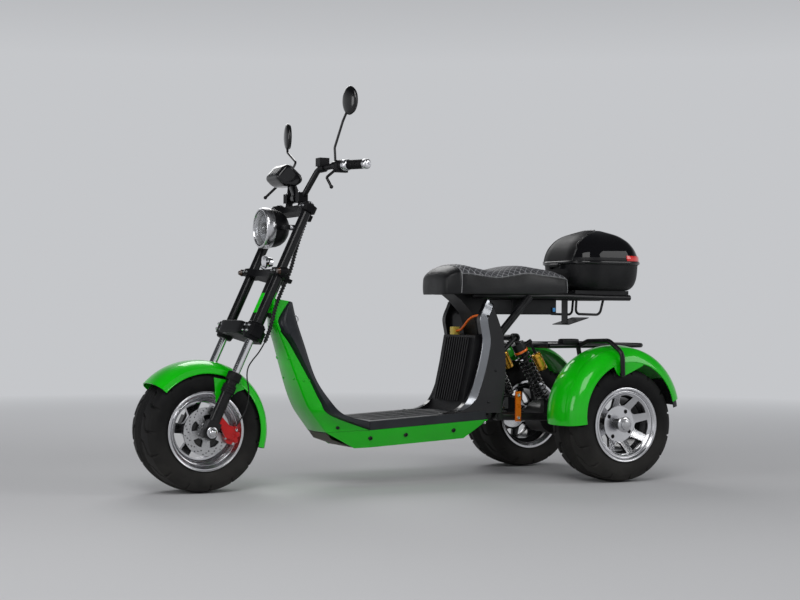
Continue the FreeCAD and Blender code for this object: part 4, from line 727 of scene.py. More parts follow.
frontSides = ringSet(frontAxle, wheelTrim["frontRings"], 1) + ringSet(frontAxle, wheelTrim["frontRings"][:3], -1)
addPiece("frontLipRings", frontSides, "front_wheel", finish("frontAlloy"))
addPiece("frontAxleNuts", [lathed(nutProfile, frontAxle + side * axleY * wheelTrim["nutOut"], side * axleY)
                           for side in (1, -1)], "steering", finish("silverBolt"))
addPiece("discBacking", [lathed(discBack, frontAxle, axleY, 72, True)], "front_wheel",
         finish("glossBlack"))
addPiece("discBolts", [boltHeads(boltCircle(frontAxle, wheelTrim["discBolts"], 5), axleY, 4.2, 3.6)], "front_wheel",
         finish("silverBolt"))
for name, hub, sign in (("left", rearHubs["left"], 1), ("right", rearHubs["right"], -1)):
    body, outward = "rear_" + name + "_wheel", axleY * sign
    addPiece(name + "LipRings", ringSet(hub, wheelTrim["rearRings"], sign), body, finish("frontAlloy"))
    addPiece(name + "LugBolts", [boltHeads(boltCircle(hub, wheelTrim["lugs"], 4, sign), outward, 6.5, 8.0)], body,
             finish("blackBolt"))
    for part, profile, key, kind in (("HubCap", hubCap, "capOut", "satinChrome"),
                                     ("CapFace", capFace, "faceOut", "discSteel")):
        addPiece(name + part, [lathed(profile, hub + outward * wheelTrim[key], outward)], body, finish(kind))
print("tricycle: wheel trim made")


# Leg shield and its liner, smooth through the stations

# columns: fold back, fold half width, fold height, edge back, half width, height, rear back, half width, height,
# in mm behind the front axle
shieldStations = [
    (280, 36, 692, 337, 44, 682, 352, 48, 677),
    (287, 42, 602, 293, 44, 600, 363, 62, 612),
    (315, 52, 520, 333, 64, 523, 384, 86, 523),
    (367, 73, 373, 392, 100, 400, 415, 116, 404),
    (397, 77, 300, 430, 117, 318, 464, 132, 324),
    (423, 80, 260, 462, 137, 267, 511, 160, 270),
    (470, 86, 200, 607, 171, 210, 605, 171, 243),
]
shieldSkin = {"rows": 73, "crease": 9.0, "crown": 5.0, "linerCrown": -4.0, "wall": 2.6, "lip": 5.0,
              "bulge": 2.0, "bulgeAt": 0.3}
hookShape = {"place": (0.460, 0.0, 0.628), "thick": 2.4, "reach": 0.018, "half": 0.014, "behind": 0.004,
             "below": 0.012}


def crossRow(start, corner, finishPoint, crease, runPoints):
    # a straight run, a rounded corner and the start of the next run; one row of columns per station
    inward, onward = unit(start - corner), unit(finishPoint - corner)
    first, last = corner + inward * crease, corner + onward * crease
    run = np.linspace(0, 1, runPoints)[None, :, None]
    turn = np.linspace(0, 1, 7)[None, :, None]
    straight = start[:, None] * (1 - run) + first[:, None] * run
    bend = (1 - turn) ** 2 * first[:, None] + 2 * turn * (1 - turn) * corner[:, None] + turn ** 2 * last[:, None]
    return np.concatenate([straight, bend[:, 1:]], 1)


def mirrorClosed(half, crown):
    # the left half's columns, then the right half's, with the middle pushed forward by the crown
    width = half[:, -1:, 1]
    across = np.linspace(1, 0, 8)[1:]
    middle = np.stack([half[:, -1, 0][:, None] + crown * (1 - across ** 2)[None], width * across[None],
                       np.broadcast_to(half[:, -1, 2][:, None], (len(half), len(across)))], -1)
    left = np.concatenate([half, middle], 1)
    right = left[:, ::-1] * np.array([1, -1, 1])
    return np.concatenate([left, right[:, 1:]], 1)


def cappedRows(rows):
    # one more row at the top, drawn in to the middle plane, closes the skin there
    top = rows[:1].copy()
    top[..., 1] = 0.0
    return np.concatenate([top, rows])


def shieldShapes(values):
    # the skin: lip, side up to the rounded fold, crowned front; the liner: bulged side up to its rear edge,
    # hollow front; both are grids of smoothed stations by columns across
    table = smoothRows(shieldStations, values["rows"])
    axle = frontAxle[0] * 1000
    fold, edge, rear = (np.stack([axle - table[:, at], table[:, at + 1], table[:, at + 2]], -1) for at in (0, 3, 6))
    front = crossRow(edge, fold, fold * np.array([1, 0, 1]), values["crease"], 7)
    lip = edge + np.array([-1.0, -values["lip"], 0.0])
    front = np.concatenate([lip[:, None], front], 1)
    skin = cappedRows(mirrorClosed(front, values["crown"]))
    bulge = edge * (1 - values["bulgeAt"]) + rear * values["bulgeAt"]
    bulge[:, 1] = np.maximum(edge[:, 1], rear[:, 1]) + values["bulge"]
    start = edge + np.array([1.0, -2.0, 0.0])
    side = np.concatenate([start[:, None], crossRow(bulge, rear, rear * np.array([1, 0, 1]), values["crease"], 5)], 1)
    liner = cappedRows(mirrorClosed(side, values["linerCrown"]))
    return [(grid.reshape(-1, 3) / 1000, gridFaces(*grid.shape[:2])) for grid in (skin, liner)]


skinShape, linerShape = shieldShapes(shieldSkin)
addPiece("shieldSkin", [skinShape], "chassis", finish("greenPaint"), outFrom=(0.36, 0.0, 0.42),
         wall=shieldSkin["wall"], replaces=("leg_shield",), sharp=60.0)
addPiece("linerSkin", [linerShape], "chassis", finish("linerPlastic", "deckPlastic"),
         outFrom=(0.47, 0.0, 0.46), wall=shieldSkin["wall"], replaces=("shield_liner",), sharp=60.0)
hookAt = np.array(hookShape["place"])
hookSweep = np.linspace(-0.5 * np.pi, 0.5 * np.pi, 18)
hookPathPoints = hookAt + np.stack([-hookShape["behind"] - hookShape["reach"] * np.cos(hookSweep), 0 * hookSweep,
                                    hookShape["half"] * np.sin(hookSweep) - hookShape["below"]], -1)
addPiece("bagHook", [tubed(hookPathPoints, hookShape["thick"] / 1000, 10, axleY),
                     roundedBlock(hookAt + np.array([0.0, 0.0, 0.004]), (3, 9, 13))],
         "chassis", finish("silverBolt"))
print("tricycle: leg shield made")


# Housing side covers: the side outline stepped in to a bevel strip

# the last two entries paint a highlight on the front bevel: its grey and how metallic it is
housingShape = {"inner": 124.0, "outer": 165.0, "bevelFront": 26.0, "bevelRear": 7.0, "steps": 6, "foot": 258.5,
                "start": 17.0, "deep": 15.0, "lips": (1.2, 0.6), "bevelHighlightColour": (0.24, 0.25, 0.27), "bevelHighlightMetal": 0.7}
# columns: forward of the rear axle, height, in mm
housingOutline = [(640, 259.5), (640, 262.5), (604, 265), (566, 277), (534, 304), (508, 356), (484, 424), (466, 500),
                  (462, 538), (466, 566), (474, 610), (469, 636), (458, 660), (448, 682), (437, 694), (426, 684),
                  (414, 662), (404, 640), (388, 600), (374, 560), (366, 510), (362, 470), (362, 430), (362, 384),
                  (367, 340), (374, 302), (384, 262), (420, 260), (460, 259), (500, 258), (570, 258)]


def housingCover(side, values):
    # rings: the outline at the inner face, again where the bevel starts, then moved inwards along its own
    # normals by the bevel, which is wide at the front and narrow elsewhere, up to the outer face
    outlinePoints = np.array(housingOutline, float)
    dense = smoothRows(np.concatenate([outlinePoints, outlinePoints[:1]]), 261)[:-1]
    tangent = unit(np.roll(dense, -1, 0) - np.roll(dense, 1, 0))
    inward = np.c_[tangent[:, 1], -tangent[:, 0]]
    middle = dense.mean(0)
    inward *= np.sign((inward * (middle - dense)).sum())
    share = np.clip((-inward[:, 0] - 0.1) / 0.5, 0, 1) * np.clip((dense[:, 1] - 262) / 40, 0, 1)
    share = np.convolve(np.concatenate([share[-8:], share, share[:8]]), np.ones(17) / 17, "valid")
    bevel = values["bevelRear"] + (values["bevelFront"] - values["bevelRear"]) * share
    bevel = np.minimum(bevel, 0.4 * np.maximum(dense[:, 1] - values["foot"], 0.4))
    rings = [(0.0, values["inner"]), (0.0, values["outer"] - values["start"])]
    rings += [(step, values["outer"] - values["deep"] * (1 - step) - values["lips"][0])
              for step in np.linspace(0.04, 0.94, values["steps"])]
    rings += [(1.0, values["outer"] - values["lips"][1]), (1.08, values["outer"])]
    grid = [np.stack([rearAxle + dense[:, 0] + inward[:, 0] * bevel * move, np.full(len(dense), side * y),
                      dense[:, 1] + inward[:, 1] * bevel * move], -1) for move, y in rings]
    grid = np.array(grid) / 1000
    return grid.reshape(-1, 3), gridFaces(len(grid), len(dense), False, True)


def housingBevelHighlight(tree, parts):
    # painted highlight: the front bevel, picked by the way its faces point, is painted a metallic grey that stands for
    # the sheen it catches; the rest is gloss black
    facing = separated(tree, newNode(tree, "TexCoord").outputs["Normal"])
    outward = ranged(tree, calculated(tree, "ABSOLUTE", facing[1]), 0.20, 0.30)
    paintedHighlight = calculated(tree, "MULTIPLY", ranged(tree, facing[0], 0.30, 0.40), outward)
    parts["colour"] = mixed(tree, paintedHighlight, parts["colour"], housingShape["bevelHighlightColour"])
    metal = calculated(tree, "MULTIPLY", paintedHighlight, housingShape["bevelHighlightMetal"])
    tree.links.new(metal, parts["shader"].inputs["Metallic"])


addPiece("housingShells", [housingCover(side, housingShape) for side in (1, -1)], "chassis",
         finish("housingGloss", "glossBlack", housingBevelHighlight), replaces=("housing_covers",), fill=True, sharp=8.0)
print("tricycle: housing made")


# Floor mat: a rubber sheet with raised ribs between a plain border

matShape = {"front": 145.0, "rear": -190.0, "half": 122.0, "thick": 3.0, "rib": 1.2, "pitch": 11.0, "border": 14.0,
            "panel": 56.0, "sink": 0.8, "along": 120, "across": 190, "fade": 3}


def ribbedMat(values):
    # height = thickness + rib * rounded wave across the floor, flat within the border; sides drop to the deck
    along = np.linspace(values["rear"], values["front"], values["along"])
    across = np.linspace(-values["half"], values["half"], values["across"])
    gapAlong = np.minimum(along - values["rear"], values["front"] - along)
    gapAcross = values["half"] - np.abs(across)
    inside = (np.clip((gapAlong - values["border"]) / values["fade"], 0, 1)[:, None]
              * np.clip((gapAcross - values["border"]) / values["fade"], 0, 1))
    wave = np.clip(1.6 * np.cos(2 * np.pi * across / values["pitch"]) - 0.2, 0, 1)
    stops = np.clip(3.0 * np.abs(np.sin(np.pi * along / values["panel"])) - 0.25, 0, 1)
    height = values["thick"] - values["sink"] + inside * values["rib"] * wave[None] * stops[:, None]
    height[[0, -1]] = 0.0
    height[:, [0, -1]] = 0.0
    points = floorPlace(along[:, None], across, height)
    return points.reshape(-1, 3), gridFaces(len(along), len(across))


addPiece("ribbedMat", [ribbedMat(matShape)], "chassis", finish("matRubber"), outFrom=(0.05, 0.0, 0.1),
         replaces=("floor_mat",))


# Seat: the cushion swells in a cloth simulation, then gets its panel and piping

# the panel colours are a painted sheen, the top panel's lighter grey
seatShape = {"rows": 176, "pressure": 3.0, "frames": 20, "cap": 0.007, "skirt": 15.0, "topColumns": 34,
             "quilt": 26.0, "puff": 1.7, "crease": 1.8, "piping": 0.0019, "noseSeam": 538.0, "tailSeam": 58.0,
             "under": 727.0, "evening": 10, "spacing": 4.0, "seamWidth": 3.5,
             "underside": [(51, 0), (55, 1), (577, 1), (586, 0)],
             "sheenPanelColours": ((0.045, 0.046, 0.050), (0.075, 0.077, 0.083)), "threadColour": (0.42, 0.42, 0.44)}
# columns: forward of the rear axle, half width, crown height and side seam height above the base
seatStations = [(601, 38, 34, 18), (599, 72, 48, 30), (593, 92, 64, 42), (581, 104, 78, 52), (560, 113, 90, 61),
                (535, 119, 95, 66), (505, 124, 95, 67), (455, 130, 85, 61), (384, 136, 73, 54), (320, 139, 83, 62),
                (254, 140, 94, 71), (187, 136, 87, 66), (125, 130, 79, 61), (78, 122, 72, 56), (58, 117, 67, 51),
                (49, 108, 57, 40), (46, 88, 44, 28)]


def seatGrid(values):
    # each station's half section: a crowned top (half * sin^0.8, seam + rise * cos^1.1), a bulged side down to
    # the skirt, the skirt's rounded edge, and the flat underside; then its mirror
    forward, half, crown, seam = (column[:, None] for column in smoothRows(seatStations, values["rows"]).T)
    turn = np.linspace(0, np.pi / 2, values["topColumns"])
    drop = np.linspace(0, 1, 12)[1:]
    flat = np.linspace(1, 0, 8)
    skirt = values["skirt"]
    # the underside comes down to the skirt's foot at both ends, so that the skirt runs all the way round
    share = np.interp(forward, *zip(*values["underside"]))
    lift = 0.4 * share - skirt * (1 - share)
    across = np.concatenate([half * np.sin(turn) ** 0.8, half + 3 * np.sin(np.pi * drop) - 2 * drop, half - 4.0,
                             half - 8.0, half - 11.0, (half - 12.0) * flat], 1)
    height = np.concatenate([seam + (crown - seam) * np.cos(turn) ** 1.1, seam + drop * (5 - skirt - seam),
                             0 * half + 1 - skirt, 0 * half - skirt, 0 * half + np.minimum(3 - skirt, lift),
                             lift + 0 * flat], 1)
    place = np.stack([np.broadcast_to(rearAxle + forward, across.shape), across, values["under"] + height], -1)
    return np.concatenate([place, place[:, -2:0:-1] * (1, -1, 1)], 1) / 1000


def evened(field, turns):
    # a running mean of three along and round the grid
    for turn in range(turns):
        field = (field + np.roll(field, 1, 1) + np.roll(field, -1, 1)) / 3
        longer = np.concatenate([field[:1], field, field[-1:]])
        field = (longer[:-2] + longer[1:-1] + longer[2:]) / 3
    return field


def withPoles(grid):
    # the grid's points in a row, then the middles of its first and last rings
    return np.concatenate([grid.reshape(-1, 3), grid[0].mean(0)[None], grid[-1].mean(0)[None]])


def placePoints(mesh, points):
    mesh.vertices.foreach_set("co", points.astype(np.float32).ravel())
    mesh.update()


def swell(piece, values, shape):
    # cloth under inner pressure, without gravity, held at the base; each point's way is capped and evened
    rest = vertexVectors(piece.data)
    cloth = piece.modifiers.new("swell", "CLOTH")
    cloth.settings.use_pressure = True
    cloth.settings.uniform_pressure_force = values["pressure"]
    cloth.settings.effector_weights.gravity = 0.0
    cloth.point_cache.frame_start, cloth.point_cache.frame_end = 1, values["frames"]
    held = piece.vertex_groups.new(name="held")
    held.add(np.nonzero(rest[:, 2] < values["under"] / 1000 + 0.002)[0].tolist(), 1.0, "REPLACE")
    cloth.settings.vertex_group_mass = "held"
    for step in range(1, values["frames"] + 1):
        scene.frame_set(step)
    shaped = piece.evaluated_get(bpy.context.evaluated_depsgraph_get()).to_mesh()
    moved = vertexVectors(shaped) - rest
    piece.modifiers.remove(cloth)
    scene.frame_set(1)
    way = np.linalg.norm(moved, axis=1)[:, None]
    moved *= np.minimum(1.0, values["cap"] / np.maximum(way, 1e-9))
    grid = evened(moved[:shape[0] * shape[1]].reshape(*shape, 3), values["evening"])
    print("tricycle: seat swelled, at most", round(float(way.max()) * 1000, 1), "mm")
    return withPoles(grid)


def paddedSeat(values):
    # the grid closed by a pole at each end and swelled; then every point moves along its normal: up by the
    # quilting's diamonds, puff * sqrt(|sin| * |sin|), and down by a bell curve at each seam
    grid = seatGrid(values)
    shape = grid.shape[:2]
    count, last = shape[0] * shape[1], shape[1]
    points = withPoles(grid)
    column = np.arange(last)
    nextColumn = (column + 1) % last
    front = np.stack([column, nextColumn, np.full(last, count)], -1)[:, ::-1]
    rear = np.stack([column, nextColumn, np.full(last, count + 1)], -1) + (count - last) * np.array([1, 1, 0])
    faces = gridFaces(*shape, False, True).tolist() + front.tolist() + rear.tolist()
    mesh = bpy.data.meshes.new("paddedSeat")
    mesh.from_pydata(points.tolist(), [], faces)
    cleaned(mesh)
    piece = newPiece("paddedSeat", mesh)
    points += swell(piece, values, shape)
    placePoints(mesh, points)
    # the top panel between the seams rises in diamonds; seams sink in
    normals = vertexVectors(mesh, "normal")
    forward = points[:, 0] * 1000 - rearAxle
    number = np.concatenate([np.tile(column, shape[0]), [shape[1] // 2] * 2])
    number = np.minimum(number, shape[1] - number)
    fromSeam = (values["topColumns"] - 1 - number) * values["spacing"]
    inside = np.minimum(np.minimum(values["noseSeam"] - forward, forward - values["tailSeam"]), fromSeam)
    slant = [np.abs(np.sin(np.pi * (points[:, 0] + sign * points[:, 1]) * 1000 / values["quilt"]))
             for sign in (1, -1)]
    rise = values["puff"] * np.sqrt(slant[0] * slant[1]) * np.clip(inside / 8, 0, 1)
    between = (forward < values["noseSeam"] + 2) & (forward > values["tailSeam"] - 2)
    fromLines = np.where(between, np.abs(fromSeam), 99)
    onSide = number < values["topColumns"] + 14
    for seam in ("noseSeam", "tailSeam"):
        fromLines = np.minimum(fromLines, np.where(onSide, np.abs(forward - values[seam]), 99))
    rise -= values["crease"] * np.exp(-(fromLines / values["seamWidth"]) ** 2)
    points += normals * rise[:, None] / 1000
    placePoints(mesh, points)
    panel = np.clip(inside / 1.5 + 0.5, 0, 1)
    mesh.attributes.new("topPanel", "FLOAT", "POINT").data.foreach_set("value", panel.astype(np.float32))
    finer = piece.modifiers.new("fine", "SUBSURF")
    finer.levels = finer.render_levels = 1
    return piece, points[:count].reshape(*shape, 3)


def seatCover(tree, parts):
    # painted sheen: the top panel is painted a lighter grey than the sides for the light it catches, with a pale thread
    # along the diamonds; the sides smooth with a fine grain
    panel = newNode(tree, "Attribute", attribute_name="topPanel").outputs["Fac"]
    axes = separated(tree, parts["place"])
    nearest = []
    for sign in ("ADD", "SUBTRACT"):
        slant = calculated(tree, "MULTIPLY", calculated(tree, sign, axes[0], axes[1]), 1000 / seatShape["quilt"])
        nearest.append(calculated(tree, "PINGPONG", slant, 0.5))
    away = calculated(tree, "MINIMUM", *nearest)
    thread = calculated(tree, "MULTIPLY", ranged(tree, away, 0.030, 0.050, 1.0, 0.0), panel)
    sheenGrey = mixed(tree, parts["cloud"], *seatShape["sheenPanelColours"])
    parts["colour"] = mixed(tree, panel, parts["colour"], sheenGrey)
    parts["colour"] = mixed(tree, thread, parts["colour"], seatShape["threadColour"])
    parts["rough"] = calculated(tree, "ADD", parts["rough"], calculated(tree, "MULTIPLY", panel, 0.12))
    leather = ranged(tree, textured(tree, "Voronoi", parts["place"], Scale=900.0)["Distance"], 0.0, 0.6, 0.0, 0.5)
    parts["height"] = calculated(tree, "ADD", leather, thread)
    parts["depth"] = 0.35


seat, seatPlaces = paddedSeat(seatShape)
seat.data.materials.append(finish("seatVinyl", build=seatCover, dusty=False))
settle(seat, "chassis", ("seat_cushion",))


def seatPiping(values):
    # cords on the cushion's own grid: over the top at the nose and tail seams, and along each side between
    forward = seatPlaces[:, 0, 0] * 1000 - rearAxle
    nose, tail = (int(np.argmin(np.abs(forward - values[key]))) for key in ("noseSeam", "tailSeam"))
    last, edge = seatPlaces.shape[1], values["topColumns"] + 10
    over = np.concatenate([np.arange(edge, -1, -1), np.arange(last - 1, last - edge - 1, -1)])
    lines = [seatPlaces[row, over] for row in (nose, tail)]
    seam = values["topColumns"] - 1
    lines += [seatPlaces[nose:tail + 1, column] for column in (seam, last - seam)]
    outward = [(0.0, 0.0, 0.0006)] * 2 + [(0.0, 0.0008, 0.0), (0.0, -0.0008, 0.0)]
    return [tubed(line + move, values["piping"], 8, (1.0, 0.0, 0.0) if index < 2 else (0.0, 0.02, 1.0))
            for index, (line, move) in enumerate(zip(lines, outward))]


addPiece("seatPiping", seatPiping(seatShape), "chassis", finish("piping", dusty=False))
print("tricycle: seat made")


# Shock springs, preload rings and reservoirs

shock = {"high": (300.0, 118.0, 545.0), "low": (164.0, 133.0, 288.0), "turns": 11.5, "coil": 26.4, "wire": 2.9,
         "start": 63.5, "end": 35.0, "preload": 54.0, "reservoir": 99.0, "reservoirOffset": 54.0}


def shockLine(values, side):
    # the upper end, the direction down to the lower one, and the length
    high, low = (byRear(*values[key]) * (1, side, 1) for key in ("high", "low"))
    return high, low - high, np.linalg.norm(low - high)


def springShape(values, side):
    # a wire on a helix about the shock's line: start + s * along + coil * (cos a * side + sin a * other)
    high, down, length = shockLine(values, side)
    along, across, other = squareFrame(down)
    at = np.linspace(0, 1, 460)
    run = values["start"] / 1000 + at * (length - (values["start"] + values["end"]) / 1000)
    spoke = circled(2 * np.pi * values["turns"] * at, across, other)
    return tubed(high + run[:, None] * along + values["coil"] / 1000 * spoke, values["wire"] / 1000, 10, along)


def shockLathe(values, profile, side, run, offset=0.0, closed=False):
    # a lathe on a line along the shock, at a run down from its upper end and an offset behind it
    high, down, length = shockLine(values, side)
    along = down / length
    place = high + along * run / 1000 + np.array([along[2], 0.0, -along[0]]) * offset / 1000
    return lathed(profile, place, along, 48, closed)


# columns: along the shock and radius in mm
preload = [(0, 20), (0, 27.8), (2, 28.6), (7, 28.6), (9, 27.8), (9, 20)]
sleeve = [(-1.5, 0), (-1.5, 14), (0, 17.6), (3, 18.9), (14, 18.9), (15, 18.0), (17, 18.0), (18, 18.9), (52, 18.9),
          (53, 18.0), (55, 18.0), (56, 18.9), (66, 18.9), (69, 17.6), (70.5, 14), (70.5, 0)]
addPiece("coilSprings", [springShape(shock, 1), springShape(shock, -1)], "chassis",
         finish("springSteel", "forkBlack"), replaces=("shock_springs",))
addPiece("preloadRings", [shockLathe(shock, preload, side, shock["preload"], 0.0, True) for side in (1, -1)],
         "chassis", finish("orangeAnodised"))
addPiece("reservoirSleeves", [shockLathe(shock, sleeve, side, shock["reservoir"], shock["reservoirOffset"])
                              for side in (1, -1)], "chassis", finish("goldAnodised"))
print("tricycle: shocks made")


# Headlamp: bezel, bowl, lens and glass

lampFace = forkPlace(72, 0, 770)
# columns: ahead of the lamp's face and radius in mm
lampParts = {
    "bezel": [(-14, 71.2), (-14, 73.6), (-12, 74.8), (4, 75.0), (13, 74.6), (18, 72.6), (20.5, 69.6), (20, 66.0),
              (16, 64.6), (6, 64.0), (-1, 64.0), (-2, 71.2)],
    "bowl": [(15, 64.4), (9, 61.0), (5, 54.0), (2.4, 44.0), (1.2, 32.0), (0.6, 20.0), (0.6, 0.0)],
    "shell": [(-0.5, 0), (-0.5, 71), (-22, 71), (-40, 68.4), (-56, 62.6), (-70, 52), (-80, 38), (-86, 20), (-88, 0)],
    "eye": [(0.8, 21.0), (8, 21.0), (9.5, 19.6), (14, 16.0), (17.5, 9.0), (18.6, 0.0)],
    "glass": [(16.4, 66.4), (18.6, 62.0), (22.2, 46.0), (24.6, 26.0), (25.6, 0.0)],
}
lampInside = lampFace - forwardX * 0.05


def glassMaterial():
    material, tree, shader = newMaterial("lampGlass")
    shader.inputs["Transmission Weight"].default_value = 1.0
    shader.inputs["IOR"].default_value = 1.45
    cloud = textured(tree, "Noise", newNode(tree, "TexCoord").outputs["Object"], Scale=60.0, Detail=3.0)[0]
    colour = mixed(tree, cloud, (0.93, 0.95, 0.96), (0.98, 0.99, 1.0))
    linked(tree, (ranged(tree, cloud, 0.3, 0.7, 0.015, 0.045), shader.inputs["Roughness"]),
           (colour, shader.inputs["Base Color"]))
    return material


addPiece("lampBezel", [lathed(lampParts["bezel"], lampFace, forwardX, 96, True)], "steering",
         finish("satinChrome"), replaces=("headlamp_lens",))
addPiece("lampBowl", [lathed(lampParts["bowl"], lampFace, forwardX, 96)], "steering",
         finish("lampBowl"), outFrom=lampInside)
armBlocks = [roundedBlock(lampFace + np.array([-0.058, side * 0.089, 0.0]), (30, 27, 9), power=0.2)
             for side in (1, -1)]
addPiece("lampShell", [lathed(lampParts["shell"], lampFace, forwardX, 96)] + armBlocks, "steering",
         finish("blackPlastic"), replaces=("headlamp_shell",))
addPiece("lampRing", [beadRing(lampFace + forwardX * 0.0050, forwardX, 50.0, 2.2)], "steering",
         finish("glossBlack"))
addPiece("lampEye", [lathed(lampParts["eye"], lampFace, forwardX, 48)], "steering",
         finish("screenGlass"), outFrom=lampInside)
addPiece("lampGlass", [lathed(lampParts["glass"], lampFace, forwardX, 96)], "steering",
         glassMaterial(), outFrom=lampInside, wall=1.2)
print("tricycle: headlamp made")


# Mirror glass: a shallow cap on each head's rear face

# side, then its place from the bar
mirrorHeads = [(1, (94, 272, 370)), (-1, (94, 284, 294))]
mirrorShape = {"half": (14.0, 40.0, 52.0), "share": 0.86, "proud": 0.5, "lip": 2.5, "yaw": 12.0, "rim": 0.0016,
               "rimReach": 1.02}


def mirrorCap(side, place, values):
    # the head's own ellipsoid a little larger, from its rear pole out to a share of its outline, and a rim
    depth, width, height = values["half"]
    reach = np.linspace(0, 1, 14) * values["share"]
    turn = fullTurn(56)
    back = -(depth * np.sqrt(1 - reach ** 2) + values["proud"])
    back = np.concatenate([back, back[-1:] + values["lip"]])
    reach = np.concatenate([reach, reach[-1:]])
    local = np.stack([np.broadcast_to(back[:, None], (len(back), len(turn))),
                      width * np.outer(reach, np.cos(turn)), height * np.outer(reach, np.sin(turn))], -1)
    yaw = math.radians(side * values["yaw"])
    spin = np.array([[math.cos(yaw), math.sin(yaw), 0], [-math.sin(yaw), math.cos(yaw), 0], [0, 0, 1]])
    centre = barPlace(place[0], side * place[1], place[2])
    points = centre + local @ spin / 1000
    edge = centre + (local[-2] * (1, values["rimReach"], values["rimReach"])) @ spin / 1000
    rim = tubed(np.concatenate([edge, edge[:2]]), values["rim"], 8, forwardX)
    return (points.reshape(-1, 3), gridFaces(len(back), len(turn), False, True)), rim


caps = [mirrorCap(side, place, mirrorShape) for side, place in mirrorHeads]
addPiece("mirrorGlass", [cap for cap, rim in caps], "steering", finish("mirrorGlass"),
         outFrom=barPlace(0, 0, 320))
addPiece("mirrorRims", [rim for cap, rim in caps], "steering", finish("blackPlastic"))


# Grips: a silver collar, ribbed rubber and a silver cap

gripShape = {"end": (123.0, 350.0, 138.0), "start": (72.0, 200.0, 142.0), "length": 112.0, "rubberFrom": 24.0,
             "rubberTo": 99.0, "ribs": 16, "ribRadius": 15.9, "ribHeight": 1.0, "bar": 11.2}
# columns: along the grip and radius in mm
gripCollar = [(-4, 11.2), (-4, 17.5), (-1, 20.3), (9, 20.6), (10, 19.2), (11.6, 19.2), (12.6, 20.6), (20, 20.0),
              (23.6, 16.8), (23.6, 11.2)]
gripCap = [(99.4, 11.2), (99.4, 16.4), (101.5, 18.0), (114, 18.0), (118.6, 16.6), (121, 13.8), (122, 10.0),
           (122, 6.2), (116, 5.6), (116, 0.0), (110, 0.0), (110, 11.2)]


def gripShapes(values, side):
    # three lathes on the bar's end: rubber with clipped cosine ribs, the collar and the cap
    end, start = (barPlace(*values[key]) * (1, side, 1) for key in ("end", "start"))
    along = unit(end - start)
    base = end - along * values["length"] / 1000
    low, high = values["rubberFrom"], values["rubberTo"]
    at = np.linspace(low, high, 131)
    wave = np.clip(1.8 * np.cos(2 * np.pi * values["ribs"] * (at - low) / (high - low)), -1, 1)
    outside = list(zip(at, values["ribRadius"] + values["ribHeight"] * wave))
    rubber = [(low, values["bar"])] + outside + [(high, values["bar"])]
    return [lathed(profile, base, along, 48, True) for profile in (rubber, gripCollar, gripCap)]


leftGrip, rightGrip = gripShapes(gripShape, 1), gripShapes(gripShape, -1)
addPiece("gripRubber", [leftGrip[0], rightGrip[0]], "steering", finish("gripRubber"),
         replaces=("hand_grips",))
addPiece("gripMetal", [leftGrip[1], rightGrip[1], leftGrip[2], rightGrip[2]], "steering",
         finish("satinChrome"))


# Display pod: a side outline swollen across, on a post and a ring round the bar; the glass is on its rear slope
podShape = {"outline": [(-12, 106), (-10, 90), (18, 72), (66, 74), (98, 103), (95, 112), (58, 155), (46, 156)],
            "half": 60.0, "round": 15, "power": 0.24, "around": 144, "across": 40}


def podShell(values):
    # the outline's points by arc length, rounded by a running mean, shrunk to its middle by a power of the
    # cosine while the place across follows the same power of the sine
    corners = np.array(values["outline"] + values["outline"][:1], float)
    run = np.concatenate([[0], np.cumsum(np.linalg.norm(np.diff(corners, axis=0), axis=1))])
    at = np.linspace(0, run[-1], values["around"], endpoint=False)
    reach = values["round"]
    ring = []
    for axis in (0, 1):
        line = np.interp(at, run, corners[:, axis])
        line = np.concatenate([line[-(reach // 2):], line, line[:reach // 2]])
        ring.append(np.convolve(line, np.ones(reach) / reach, "valid"))
    ring = np.stack(ring, -1)
    middle = ring.mean(0)
    across = np.linspace(-np.pi / 2, np.pi / 2, values["across"])
    share = np.abs(np.cos(across)) ** values["power"]
    side = values["half"] * np.sign(np.sin(across)) * np.abs(np.sin(across)) ** values["power"]
    flat = middle + (ring - middle)[None] * share[:, None, None]
    points = np.stack([flat[..., 0], np.broadcast_to(side[:, None], flat.shape[:2]), flat[..., 1]], -1)
    return (barPlace(0, 0, 0) + points / 1000).reshape(-1, 3), gridFaces(*flat.shape[:2], False, True)


postAxes = ((0.0, 1.0, 0.0), (-0.92, 0.0, 0.39), (0.39, 0.0, 0.92))
podRing = [(-12, 11.6), (-12, 17), (-11, 18), (11, 18), (12, 17), (12, 11.6)]
addPiece("podShell", [podShell(podShape), roundedBlock(barPlace(-4, 0, 68), (12, 12, 34), postAxes, 0.2),
                      lathed(podRing, barPlace(6, 0, 34), axleY, 48, True)],
         "steering", finish("glossBlack"), replaces=("display_pod",))
slopeAxes = ((0.757, 0.0, 0.653), (0.0, 1.0, 0.0), (-0.653, 0.0, 0.757))
addPiece("displayGlass", [roundedBlock(barPlace(-16, 0, 131.2), (30, 47, 2.2), slopeAxes, 0.12)], "steering",
         finish("screenGlass"))
print("tricycle: bar trim made")


# Top case: smooth lid with a gloss panel, band, reflectors, latch and hinge

caseShape = {"x": -866.0, "rim": 837.0, "height": 141.0, "length": 334.0, "width": 340.0, "corner": 110.0, "wall": 4.0,
             "around": 120, "rings": 49, "straight": 0.14, "crown": [(1.006, 0.1), (1.009, 0.0)]}
# columns: share of the lid's height, share of the case's length and width
lidDome = [(0.0, 1.0), (0.15, 1.0), (0.38, 0.94), (0.55, 0.86), (0.71, 0.74), (0.87, 0.53), (1.0, 0.2)]


